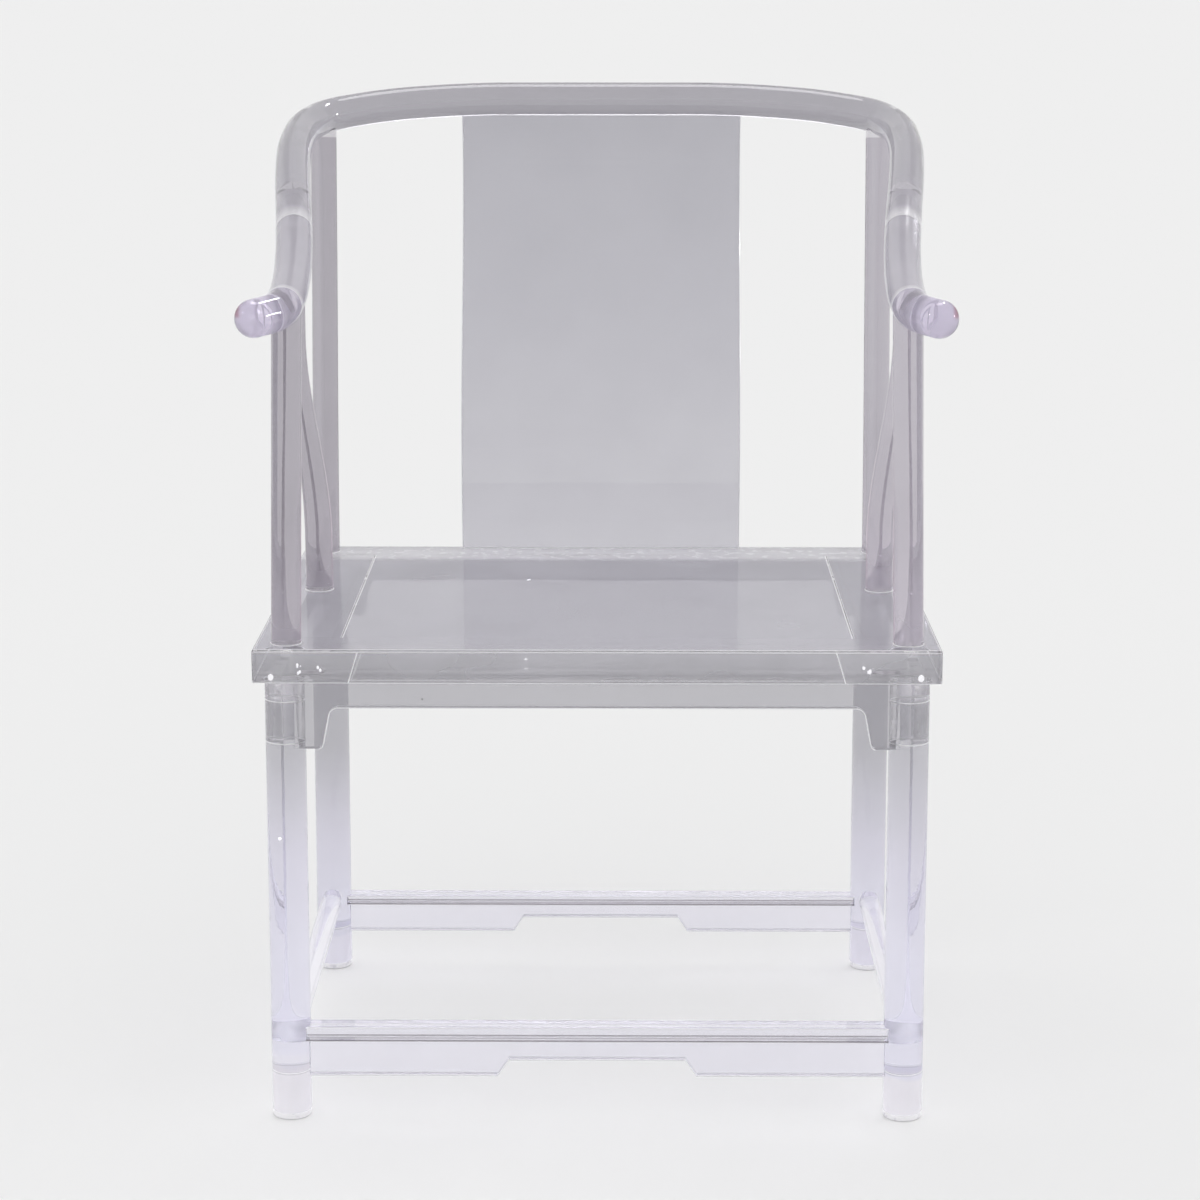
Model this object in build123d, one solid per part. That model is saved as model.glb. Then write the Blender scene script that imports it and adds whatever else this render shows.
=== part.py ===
from build123d import *
import os
from math import radians, tan

# Horseshoe-back armchair of clear cast acrylic: a framed square seat on four round legs, a bent
# round rail that is crest and arms in one sweep, and a curved flat splat. Every piece is polished,
# let into its neighbour and bonded, so each joint here has its tongue or spigot and a cement gap.
# Millimetres, +Z up, +Y to the back. Depths are measured from the seat's front edge; at the end
# all pieces move together so that the middle of the whole chair stands over the origin.

# ---------------------------------------------------------------- seat
SEAT_WIDTH = 640.0
SEAT_DEPTH = 480.0
SEAT_TOP = 468.0
SEAT_THICK = 32.0
END_RAIL_WIDTH = 50.0        # front and back members, over the full width
SIDE_RAIL_WIDTH = 79.0       # left and right members, between the two end members
SEAT_TOP_ROUND = 3.0
SEAT_EDGE_ROUND = 1.0
SEAT_CORNER_ROUND = 2.5
SEAT_TONGUE_THICK = 8.0
SEAT_TONGUE_LONG = 10.0
SEAT_TENON_MARGIN = 14.0     # the side members' tenons stop short of their edges
PANEL_GROOVE = 0.9           # depth of the fine V along the panel's two long sides

# ---------------------------------------------------------------- bonding
CEMENT = 0.1                 # gap that the clear cement fills

# ---------------------------------------------------------------- legs and their glides
LEG_DIA = 38.0
LEG_INSET_X = 27.5           # leg centre from the seat's side edge
LEG_INSET_Y = 28.0           # leg centre from the seat's front and back edge
LEG_SPLAY = 2.5              # how far the foot stands outside the top, sideways
LEG_HOUSING = 5.0            # depth of the round housing in the seat's underside
LEG_FOOT_ROUND = 1.0
PAD_THICK = 6.0
PAD_DIA = 37.0
PAD_ROUND = 1.2

# ---------------------------------------------------------------- aprons
APRON_THICK = 12.0
APRON_INSET = 12.0           # outer face from the seat's edge
APRON_DROP = 26.5            # height of the level stretch under the seat
EAR_DROP = 66.0              # height at the legs
EAR_FOOT = 16.5              # width of an ear at its bottom, from the leg
EAR_SLOPE = 7.6              # how much wider the ear is at its top
EAR_TOE_ROUND = 4.0
EAR_THROAT_ROUND = 10.0
APRON_TONGUE_END = 9.0       # the end aprons run this far past the leg's centre
SIDE_TONGUE = 12.0           # the side aprons' tongues in the legs

# ---------------------------------------------------------------- front and back stretchers
STRETCHER_BAR_DEPTH = 22.6
STRETCHER_STRIP_THICK = 12.0
FRONT_BAR_TOP = 91.5
FRONT_BAR_HIGH = 14.5
BACK_BAR_TOP = 82.0
BACK_BAR_HIGH = 10.0
STRIP_FOOT = 40.5            # lowest edge of both strips, near the legs
STRIP_ARCH = 56.5            # lower edge in the middle
ARCH_HALF_TOP = 85.5
ARCH_HALF_FOOT = 96.0
BAR_TENON_PAST = 13.5        # the bar's tenon past the leg's centre
STRIP_TENON_PAST = 0.5
POLISHED_EDGE = 0.8

# ---------------------------------------------------------------- side stretchers
SIDE_ROD_DIA = 22.5
SIDE_ROD_HEIGHT = 81.0
SIDE_ROD_SPIGOT_DIA = 12.0
SIDE_ROD_SPIGOT_LONG = 5.0

# ---------------------------------------------------------------- rail: crest, arms and grips
RAIL_DIA = 34.8
# Right half of the rail's centre line, as the corners of its runs from the crest to the grip. Each
# is given out from the seat's side edge, back from one of its edges, and up from its top.
RAIL_FROM_BACK_EDGE = [
    (-185.5, 66.0, 476.0),
    (-94.0, 52.0, 470.5),
    (-28.5, 19.5, 461.0),
    (-10.0, -32.0, 450.5),
    (-8.5, -107.0, 435.0),
]
RAIL_FROM_FRONT_EDGE = [
    (-16.5, 283.0, 411.5),
    (-26.0, 204.5, 384.0),
    (-33.0, 139.5, 357.0),
    (-37.0, 85.0, 336.5),
    (-38.0, 33.5, 322.5),
    (-34.5, -4.5, 314.0),
    (-14.5, -29.5, 311.0),
]
CREST_LAST = 7               # the crest ends half way between this corner and the next
GRIP_JOINT_Y = 13.0          # where the grips start
RUN_SHARE = 0.45             # how much of the shorter run each bend takes up
RAIL_SPIGOT_DIA = 16.0
RAIL_SPIGOT_LONG = 8.0
RAIL_JOINT_EDGE = 0.5        # broken edge round each joint of the rail

# ---------------------------------------------------------------- posts
FRONT_POST_DIA = 28.0
FRONT_POST_INSET_X = 29.5
BACK_POST_DIA = 27.4
BACK_POST_INSET_X = 25.5
BACK_POST_TOP = 10.0         # where it meets the rail, behind the seat's back edge
BACK_POST_BENDS = [(-21.0, 132.0), (-4.0, 279.0)]    # back from that edge, up from the seat
SIDE_POST_Y = 262.0
SIDE_POST_INSET_X = 37.0     # centre of the side post's foot from the seat's side edge
SIDE_POST_FOOT_DIA = 27.4
SIDE_POST_TOP_DIA = 18.8
SIDE_POST_SWELL_LOW = 55.0   # heights over the seat between which it bends out and thins
SIDE_POST_SWELL_HIGH = 258.0
SIDE_POST_RINGS = 6
POST_SPIGOT_DIA = 16.0
SIDE_POST_SPIGOT_DIA = 12.0
POST_SPIGOT_LONG = 18.0
TOP_SPIGOT_DIA = 11.0
TOP_SPIGOT_PAST = 2.0        # the top spigots end this far over the rail's centre line

# ---------------------------------------------------------------- splat
SPLAT_WIDTH = 299.0
SPLAT_THICK = 10.0
# Corners of the splat's middle line in the side view: back from the seat's back edge, and up
# from its top.
SPLAT_RUNS = [
    (-6.5, 0.0),
    (-14.0, 57.0),
    (-10.6, 132.0),
    (7.5, 200.0),
    (59.5, 324.5),
    (76.5, 409.0),
    (68.0, 478.0),
]
SPLAT_TONGUE_THICK = 6.0
SPLAT_TONGUE_WIDTH = 240.0
SPLAT_TONGUE_LONG = 14.0
SPLAT_TOP_TONGUE = 13.0      # how deep the top tongue enters the crest rail
SPLAT_EDGE = 0.8

# ---------------------------------------------------------------- worked out from these
SEAT_UNDER = SEAT_TOP - SEAT_THICK
SEAT_MIDDLE_Z = SEAT_TOP - SEAT_THICK / 2
HALF_WIDTH = SEAT_WIDTH / 2
PANEL_HALF = HALF_WIDTH - SIDE_RAIL_WIDTH
BACK_RAIL_Y = SEAT_DEPTH - END_RAIL_WIDTH
LEG_X = HALF_WIDTH - LEG_INSET_X
LEG_R = LEG_DIA / 2
FRONT_LEG_Y = LEG_INSET_Y
BACK_LEG_Y = SEAT_DEPTH - LEG_INSET_Y
RAIL_R = RAIL_DIA / 2
RAIL_CORNERS = [(HALF_WIDTH + out, edge + back, SEAT_TOP + up)
                for edge, corners in ((SEAT_DEPTH, RAIL_FROM_BACK_EDGE), (0, RAIL_FROM_FRONT_EDGE))
                for out, back, up in corners]
SPLAT_CORNERS = [(SEAT_DEPTH + back, up) for back, up in SPLAT_RUNS]
SIDES = {"left": -1, "right": 1}


def block(low, high):
    """A box between two corners."""
    size = [b - a for a, b in zip(low, high)]
    middle = [(a + b) / 2 for a, b in zip(low, high)]
    return Pos(*middle) * Box(*size)


def upright(x, y, low, high, dia):
    """A round peg or hole that stands at x, y from low to high."""
    return Pos(x, y, (low + high) / 2) * Cylinder(dia / 2, high - low)


def leaning(low, high, dia):
    """A round bar with level ends, from one centre point to another."""
    lean = Vector(*high) - Vector(*low)
    section = Plane(Vector(*low)) * Circle(dia / 2)
    return extrude(section, amount=lean.length, dir=lean.normalized())


def run_path(corners):
    """Straight runs joined by arcs, each as large as its two runs allow."""
    points = [Vector(*corner) for corner in corners]
    bends = []
    for before, corner, after in zip(points, points[1:], points[2:]):
        turn = radians((corner - before).get_angle(after - corner))
        shorter = min((corner - before).length, (after - corner).length)
        bends.append(RUN_SHARE * shorter / tan(turn / 2))
    return FilletPolyline(*points, radius=bends)


def bar_along(path, dia):
    """A round bar along a path."""
    return sweep(Plane(path ^ 0) * Circle(dia / 2), path=path)


def mirrored(points):
    """The same points on the other side of the chair."""
    return [(-x, y, z) for x, y, z in points]


# ---------------------------------------------------------------- rail
RAIL_LINE = run_path(mirrored(RAIL_CORNERS)[::-1] + RAIL_CORNERS)
CREST_END = (Vector(*RAIL_CORNERS[CREST_LAST - 1]) + Vector(*RAIL_CORNERS[CREST_LAST])) / 2


def rail_at(depth):
    """Point and direction on the right half's centre line at a depth, found by halving."""
    low, high = 0.5, 1.0
    for _ in range(40):
        middle = (low + high) / 2
        if (RAIL_LINE @ middle).Y > depth:
            low = middle
        else:
            high = middle
    return RAIL_LINE @ high, RAIL_LINE % high


def rail_joint(kind):
    """Point and direction of the right half's joint at the crest or at the grip."""
    return rail_at(CREST_END.Y) if kind == "crest" else rail_at(GRIP_JOINT_Y)


def joint_peg(kind, spare=0.0):
    """The peg across a rail joint of the right half; a spare makes its sockets."""
    point, along = rail_joint(kind)
    length = RAIL_SPIGOT_LONG + spare
    start = Plane(point - along * length, z_dir=along)
    return extrude(start * Circle(RAIL_SPIGOT_DIA / 2 + spare), 2 * length)


def joint_cut(kind, gap):
    """The plane across the right half of the rail, moved towards the grip by a gap."""
    point, along = rail_joint(kind)
    return Plane(point + along * gap, z_dir=along)


def broken_rims(bar, places):
    """A rail length with the sharp edge at its cut ends broken."""
    rims = [edge for edge in bar.edges()
            if any((edge.center(CenterOf.MASS) - place).length < RAIL_JOINT_EDGE for place in places)]
    return chamfer(rims, RAIL_JOINT_EDGE)


def crest_rail():
    """The bent crest with its shoulders, as far as the arms."""
    right = RAIL_CORNERS[:CREST_LAST] + [tuple(CREST_END)]
    bar = bar_along(run_path(mirrored(right)[::-1] + right), RAIL_DIA)
    ends = [CREST_END, Vector(-CREST_END.X, CREST_END.Y, CREST_END.Z)]
    bar = broken_rims(bar, ends)
    peg = joint_peg("crest")
    bar = bar + peg + mirror(peg, Plane.YZ)
    for side in SIDES.values():
        for kind in ("side_post", "back_post"):
            bar -= top_spigot(*post_places(side)[kind][2], CEMENT)
    return bar - splat_tongue(True, CEMENT)


def front_half():
    """The right side of the rail in front of the crest, with its rounded grip."""
    run = [tuple(CREST_END)] + RAIL_CORNERS[CREST_LAST:]
    return bar_along(run_path(run), RAIL_DIA) + Pos(*RAIL_CORNERS[-1]) * Sphere(RAIL_R)


def arm_rail():
    """The right arm between the crest and the grip."""
    bar = split(front_half(), joint_cut("crest", CEMENT), keep=Keep.TOP)
    bar = split(bar, joint_cut("grip", -CEMENT), keep=Keep.BOTTOM)
    bar = broken_rims(bar, [rail_joint(kind)[0] for kind in ("crest", "grip")])
    for kind in ("crest", "grip"):
        bar -= joint_peg(kind, CEMENT)
    return bar - top_spigot(*post_places(1)["front_post"][2], CEMENT)


def grip():
    """The right grip: a short length that turns outwards and ends in a half ball."""
    bar = split(front_half(), joint_cut("grip", 0), keep=Keep.TOP)
    bar = broken_rims(bar, [rail_joint("grip")[0]])
    return bar + joint_peg("grip")


# ---------------------------------------------------------------- seat
def seat_blank():
    """The seat as one rounded board, before it is divided into its members."""
    board = block((-HALF_WIDTH, 0, SEAT_UNDER), (HALF_WIDTH, SEAT_DEPTH, SEAT_TOP))
    board = fillet(board.edges().filter_by(Axis.Z), SEAT_CORNER_ROUND)
    board = fillet(board.faces().sort_by(Axis.Z)[-1].edges(), SEAT_TOP_ROUND)
    return fillet(board.faces().sort_by(Axis.Z)[0].edges(), SEAT_EDGE_ROUND)


def panel_tongue(spare=0.0):
    """The tongue all round the panel; a spare makes it the groove."""
    reach = SEAT_TONGUE_LONG + spare
    half = SEAT_TONGUE_THICK / 2 + spare
    return block((-PANEL_HALF - reach, END_RAIL_WIDTH - reach, SEAT_MIDDLE_Z - half),
                 (PANEL_HALF + reach, BACK_RAIL_Y + reach, SEAT_MIDDLE_Z + half))


def side_tenons(side, spare=0.0):
    """The tenons of one side member, through both ends; a spare makes the mortises."""
    reach = SEAT_TONGUE_LONG + spare
    half = SEAT_TONGUE_THICK / 2 + spare
    near = PANEL_HALF + SEAT_TENON_MARGIN - spare
    far = HALF_WIDTH - SEAT_TENON_MARGIN + spare
    low_x, high_x = sorted((side * near, side * far))
    return block((low_x, END_RAIL_WIDTH - reach, SEAT_MIDDLE_Z - half),
                 (high_x, BACK_RAIL_Y + reach, SEAT_MIDDLE_Z + half))


def panel_vee(side):
    """The fine V groove in the top, between the panel and one side member."""
    length = BACK_RAIL_Y - END_RAIL_WIDTH + 2 * PANEL_GROOVE
    bar = Rot(0, 45, 0) * Box(PANEL_GROOVE * 2 ** 0.5, length, PANEL_GROOVE * 2 ** 0.5)
    return Pos(side * PANEL_HALF, SEAT_DEPTH / 2, SEAT_TOP) * bar


def seat_end_rail(low_y, high_y):
    """A front or back member of the seat, with its grooves and mortises."""
    member = seat_blank() & block((-SEAT_WIDTH, low_y, 0), (SEAT_WIDTH, high_y, 2 * SEAT_TOP))
    member -= panel_tongue(CEMENT)
    for side in SIDES.values():
        member -= side_tenons(side, CEMENT)
    return member


def seat_side_rail(side):
    """A left or right member, with a tenon at each end and the panel's groove."""
    low_x, high_x = sorted((side * (PANEL_HALF + CEMENT), side * SEAT_WIDTH))
    room = block((low_x, END_RAIL_WIDTH + CEMENT, 0), (high_x, BACK_RAIL_Y - CEMENT, 2 * SEAT_TOP))
    member = seat_blank() & room
    member += side_tenons(side)
    foot, spigot, _ = post_places(side)["side_post"]
    member -= base_spigot(*foot, spigot, CEMENT)
    return member - panel_tongue(CEMENT) - panel_vee(side)


def seat_panel():
    """The middle board, with its tongue."""
    low = (-PANEL_HALF, END_RAIL_WIDTH + CEMENT, SEAT_UNDER)
    high = (PANEL_HALF, BACK_RAIL_Y - CEMENT, SEAT_TOP)
    panel = block(low, high) + panel_tongue()
    for side in SIDES.values():
        panel -= panel_vee(side)
    return panel


# ---------------------------------------------------------------- legs and glides
def leg_centre(side, y, height):
    """Centre of a leg at a height."""
    return side * (LEG_X + LEG_SPLAY * (1 - height / SEAT_UNDER)), y, height


def leg_bar(side, y, low, high, dia):
    """A stretch of a leg's leaning axis as a round bar."""
    return leaning(leg_centre(side, y, low), leg_centre(side, y, high), dia)


def foot_pad(side, y):
    """A white nylon glide, bonded under the leg."""
    x = leg_centre(side, y, 0)[0]
    disc = upright(x, y, 0, PAD_THICK, PAD_DIA)
    return fillet(disc.edges().filter_by(GeomType.CIRCLE), PAD_ROUND)


def leg_blank(side, y):
    """A round leg from its glide to the housing in the seat."""
    low = PAD_THICK + CEMENT
    leg = leg_bar(side, y, low, SEAT_UNDER + LEG_HOUSING, LEG_DIA)
    return fillet(leg.faces().sort_by(Axis.Z)[0].edges(), LEG_FOOT_ROUND)


def leg_housing(side, y):
    """The round housing that a leg's top is let into."""
    return leg_bar(side, y, SEAT_UNDER - LEG_HOUSING, SEAT_UNDER + LEG_HOUSING + CEMENT,
                   LEG_DIA + 2 * CEMENT)


# ---------------------------------------------------------------- aprons
def apron_outline(low, high, near, far):
    """An apron's face: level in the middle, with an ear down each leg.

    low and high are the board's ends, near and far the legs' faces between them.
    """
    level = SEAT_UNDER - APRON_DROP
    toe = SEAT_UNDER - EAR_DROP
    top = SEAT_UNDER - CEMENT
    near_toe = near + EAR_FOOT
    far_toe = far - EAR_FOOT
    near_throat = near_toe + EAR_SLOPE
    far_throat = far_toe - EAR_SLOPE
    outline = Polyline((low, top), (low, toe), (near_toe, toe), (near_throat, level),
                       (far_throat, level), (far_toe, toe), (high, toe), (high, top), close=True)
    face = make_face(outline)
    toes = [v for v in face.vertices() if abs(v.Y - toe) < CEMENT and near < v.X < far]
    face = fillet(toes, EAR_TOE_ROUND)
    throats = [v for v in face.vertices() if abs(v.Y - level) < CEMENT]
    return fillet(throats, EAR_THROAT_ROUND)


def end_apron(at_back, spare=0.0):
    """The front or back apron; a spare makes the slots it is let into."""
    end = LEG_X + APRON_TONGUE_END + spare
    face_x = LEG_X - LEG_R
    outline = apron_outline(-end, end, -face_x, face_x)
    outer = SEAT_DEPTH - APRON_INSET if at_back else APRON_INSET + APRON_THICK
    wall = Plane(Vector(0, outer + spare, 0), x_dir=(1, 0, 0), z_dir=(0, -1, 0))
    return extrude(wall * outline, amount=APRON_THICK + 2 * spare)


def side_apron(side, spare=0.0):
    """A left or right apron; a spare makes the slots it is let into."""
    near = FRONT_LEG_Y + LEG_R
    far = BACK_LEG_Y - LEG_R
    outline = apron_outline(near - SIDE_TONGUE - spare, far + SIDE_TONGUE + spare, near, far)
    middle = side * (HALF_WIDTH - APRON_INSET - APRON_THICK / 2)
    half = APRON_THICK / 2 + spare
    wall = Plane(Vector(middle - half, 0, 0), x_dir=(0, 1, 0), z_dir=(1, 0, 0))
    return extrude(wall * outline, amount=2 * half)


# ---------------------------------------------------------------- stretchers
def bar_top(at_back):
    """Top of the front or back stretcher's bar, and its height."""
    return (BACK_BAR_TOP, BACK_BAR_HIGH) if at_back else (FRONT_BAR_TOP, FRONT_BAR_HIGH)


def stretcher_bar(at_back, spare=0.0):
    """The flat bar on top of a stretcher; a spare makes its mortises."""
    top, high = bar_top(at_back)
    y = BACK_LEG_Y if at_back else FRONT_LEG_Y
    end = leg_centre(1, y, top)[0] + BAR_TENON_PAST + spare
    half = STRETCHER_BAR_DEPTH / 2 + spare
    return block((-end, y - half, top - high - spare), (end, y + half, top + spare))


def stretcher_strip(at_back, spare=0.0):
    """The thin strip under a bar, cut up in the middle; a spare makes its mortises."""
    top, high = bar_top(at_back)
    y = BACK_LEG_Y if at_back else FRONT_LEG_Y
    end = leg_centre(1, y, top)[0] + STRIP_TENON_PAST + spare
    upper = top - high - CEMENT + 2 * spare
    lower = STRIP_FOOT - spare
    outline = Polyline((-end, upper), (-end, lower), (-ARCH_HALF_FOOT, lower),
                       (-ARCH_HALF_TOP, STRIP_ARCH), (ARCH_HALF_TOP, STRIP_ARCH),
                       (ARCH_HALF_FOOT, lower), (end, lower), (end, upper), close=True)
    half = STRETCHER_STRIP_THICK / 2 + spare
    wall = Plane(Vector(0, y + half, 0), x_dir=(1, 0, 0), z_dir=(0, -1, 0))
    return extrude(wall * make_face(outline), amount=2 * half)


def polished(bar):
    """Long edges of a straight piece with a small polished chamfer."""
    return chamfer(bar.edges().filter_by(Axis.X), POLISHED_EDGE)


def rod_spigots(side, spare=0.0):
    """The thin ends of a side rod in both legs; a spare makes their holes."""
    near = FRONT_LEG_Y + LEG_R - SIDE_ROD_SPIGOT_LONG - spare
    far = BACK_LEG_Y - LEG_R + SIDE_ROD_SPIGOT_LONG + spare
    x, _, height = leg_centre(side, 0, SIDE_ROD_HEIGHT)
    return leaning_rod(x, near, far, height, SIDE_ROD_SPIGOT_DIA + 2 * spare)


def leaning_rod(x, near, far, height, dia):
    """A round bar from front to back."""
    return Pos(x, (near + far) / 2, height) * Rot(90, 0, 0) * Cylinder(dia / 2, far - near)


def side_rod(side):
    """A round side stretcher, hollowed at both ends to sit against the legs."""
    x, _, height = leg_centre(side, 0, SIDE_ROD_HEIGHT)
    rod = leaning_rod(x, FRONT_LEG_Y, BACK_LEG_Y, height, SIDE_ROD_DIA)
    for y in (FRONT_LEG_Y, BACK_LEG_Y):
        rod -= leg_bar(side, y, 0, SEAT_UNDER, LEG_DIA + 2 * CEMENT)
    return rod + rod_spigots(side)


def leg(side, y):
    """A leg with its slots for the aprons and its mortises for the stretchers."""
    at_back = y == BACK_LEG_Y
    piece = leg_blank(side, y)
    piece -= end_apron(at_back, CEMENT)
    piece -= side_apron(side, CEMENT)
    piece -= stretcher_bar(at_back, CEMENT)
    piece -= stretcher_strip(at_back, CEMENT)
    return piece - rod_spigots(side, CEMENT)


# ---------------------------------------------------------------- posts
def rail_room():
    """The rail with the cement round it, as one bar, to hollow the tops of the posts."""
    return bar_along(RAIL_LINE, RAIL_DIA + 2 * CEMENT)


def top_spigot(x, y, height, spare=0.0):
    """The peg from a post up into the rail; a spare makes its hole."""
    return upright(x, y, height - RAIL_DIA, height + TOP_SPIGOT_PAST + spare,
                   TOP_SPIGOT_DIA + 2 * spare)


def base_spigot(x, y, dia, spare=0.0):
    """The peg from a post down into the seat; a spare makes its hole."""
    return upright(x, y, SEAT_TOP - POST_SPIGOT_LONG - spare, SEAT_TOP + POST_SPIGOT_LONG,
                   dia + 2 * spare)


def post_places(side):
    """Foot of each post on the seat, its spigot's size, and where it meets the rail."""
    front = rail_at(FRONT_LEG_Y)[0]
    middle = rail_at(SIDE_POST_Y)[0]
    back = rail_at(SEAT_DEPTH + BACK_POST_TOP)[0]
    return {
        "front_post": ((side * (HALF_WIDTH - FRONT_POST_INSET_X), FRONT_LEG_Y), POST_SPIGOT_DIA,
                       (side * front.X, front.Y, front.Z)),
        "side_post": ((side * (HALF_WIDTH - SIDE_POST_INSET_X), SIDE_POST_Y), SIDE_POST_SPIGOT_DIA,
                      (side * middle.X, middle.Y, middle.Z)),
        "back_post": ((side * (HALF_WIDTH - BACK_POST_INSET_X), BACK_LEG_Y), POST_SPIGOT_DIA,
                      (side * back.X, back.Y, back.Z)),
    }


def post_bar(kind, foot, top):
    """A post's own shape, from just under the seat's top to the rail's centre line."""
    x, y = foot
    if kind == "front_post":
        return leaning((x, y, SEAT_TOP + CEMENT), top, FRONT_POST_DIA)
    if kind == "back_post":
        rise = (top[0] - x) / (top[2] - SEAT_TOP)
        bends = [(x + rise * up, SEAT_DEPTH + back, SEAT_TOP + up) for back, up in BACK_POST_BENDS]
        first = Vector(*bends[0]) - Vector(x, y, SEAT_TOP)
        start = Vector(x, y, SEAT_TOP) - first.normalized() * POST_SPIGOT_LONG
        return bar_along(run_path([tuple(start), *bends, top]), BACK_POST_DIA)
    low = SEAT_TOP + SIDE_POST_SWELL_LOW
    high = SEAT_TOP + SIDE_POST_SWELL_HIGH
    rings = []
    for ring in range(SIDE_POST_RINGS + 1):
        share = ring / SIDE_POST_RINGS
        ease = share ** 2 * (3 - 2 * share)
        dia = SIDE_POST_FOOT_DIA + (SIDE_POST_TOP_DIA - SIDE_POST_FOOT_DIA) * ease
        rings.append(Pos(x + (top[0] - x) * ease, y, low + (high - low) * share) * Circle(dia / 2))
    foot_part = upright(x, y, SEAT_TOP + CEMENT, low, SIDE_POST_FOOT_DIA)
    top_part = upright(top[0], y, high, top[2], SIDE_POST_TOP_DIA)
    return foot_part + loft(rings) + top_part


def post(kind, foot, spigot, top):
    """A finished post: flat on the seat, hollowed under the rail, with a peg at each end."""
    bar = post_bar(kind, foot, top)
    bar = split(bar, Plane.XY.offset(SEAT_TOP + CEMENT), keep=Keep.TOP)
    bar -= rail_room()
    return bar + base_spigot(*foot, spigot) + top_spigot(*top)


# ---------------------------------------------------------------- splat
def splat_tongue(at_top, spare=0.0):
    """The tongue into the seat or the crest; a spare makes its groove."""
    if at_top:
        under = RAIL_CORNERS[0][2] - RAIL_R
        low, high = under - SPLAT_TOP_TONGUE, under + SPLAT_TOP_TONGUE + spare
        (before, below), (after, above) = SPLAT_CORNERS[-2:]
        share = (under - SEAT_TOP - below) / (above - below)
        depth = before + (after - before) * share
    else:
        low, high = SEAT_TOP - SPLAT_TONGUE_LONG - spare, SEAT_TOP + SPLAT_TONGUE_THICK
        depth = SPLAT_CORNERS[0][0]
    half_wide = SPLAT_TONGUE_WIDTH / 2 + spare
    half_thick = SPLAT_TONGUE_THICK / 2 + spare
    return block((-half_wide, depth - half_thick, low), (half_wide, depth + half_thick, high))


def back_splat():
    """The curved flat splat between the seat and the crest, with a tongue at each end."""
    middle = run_path([(0, depth, SEAT_TOP + height) for depth, height in SPLAT_CORNERS])
    start = Plane(middle @ 0, x_dir=(1, 0, 0), z_dir=middle % 0)
    board = sweep(start * Rectangle(SPLAT_WIDTH, SPLAT_THICK), path=middle)
    long_edges = [edge for edge in board.edges()
                  if abs(abs(edge.center().X) - SPLAT_WIDTH / 2) < CEMENT and edge.length > 2 * SPLAT_THICK]
    board = chamfer(long_edges, SPLAT_EDGE)
    board -= block((-SPLAT_WIDTH, 0, 0), (SPLAT_WIDTH, 2 * SEAT_DEPTH, SEAT_TOP + CEMENT))
    board -= rail_room()
    return board + splat_tongue(False) + splat_tongue(True)


def with_seat_sockets(member, at_back):
    """An end member of the seat with its leg housings and its sockets for posts and splat."""
    y = BACK_LEG_Y if at_back else FRONT_LEG_Y
    kind = "back_post" if at_back else "front_post"
    for side in SIDES.values():
        foot, spigot, _ = post_places(side)[kind]
        member -= leg_housing(side, y)
        member -= base_spigot(*foot, spigot, CEMENT)
    return member - splat_tongue(False, CEMENT) if at_back else member


# ---------------------------------------------------------------- the whole chair
parts = {
    "crest_rail": crest_rail(),
    "back_splat": back_splat(),
    "seat_front_rail": with_seat_sockets(seat_end_rail(0, END_RAIL_WIDTH), False),
    "seat_back_rail": with_seat_sockets(seat_end_rail(BACK_RAIL_Y, SEAT_DEPTH), True),
    "seat_panel": seat_panel(),
    "apron_front": end_apron(False),
    "apron_back": end_apron(True),
    "front_stretcher_bar": polished(stretcher_bar(False)),
    "front_stretcher_strip": polished(stretcher_strip(False)),
    "back_stretcher_bar": polished(stretcher_bar(True)),
    "back_stretcher_strip": polished(stretcher_strip(True)),
}
right_side = {
    "arm_rail": arm_rail(),
    "grip": grip(),
    "seat_side_rail": seat_side_rail(1),
    "apron": side_apron(1),
    "side_stretcher": side_rod(1),
}
for kind, (foot, spigot, top) in post_places(1).items():
    right_side[kind] = post(kind, foot, spigot, top)
for end, y in (("front", FRONT_LEG_Y), ("back", BACK_LEG_Y)):
    right_side[f"{end}_leg"] = leg(1, y)
    right_side[f"foot_pad_{end}"] = foot_pad(1, y)
for kind, piece in right_side.items():
    parts[f"{kind}_right"] = piece
    parts[f"{kind}_left"] = mirror(piece, Plane.YZ)

# The middle of the depth, from the crest's back to the grips' tips, goes over the origin.
middle_depth = (RAIL_CORNERS[0][1] + RAIL_CORNERS[-1][1]) / 2
os.makedirs("parts", exist_ok=True)
for name, piece in parts.items():
    export_step(Pos(0, -middle_depth, 0) * piece, f"parts/{name}.step")
    print(name, round(piece.volume))
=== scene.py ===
# %% [markdown]
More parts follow.
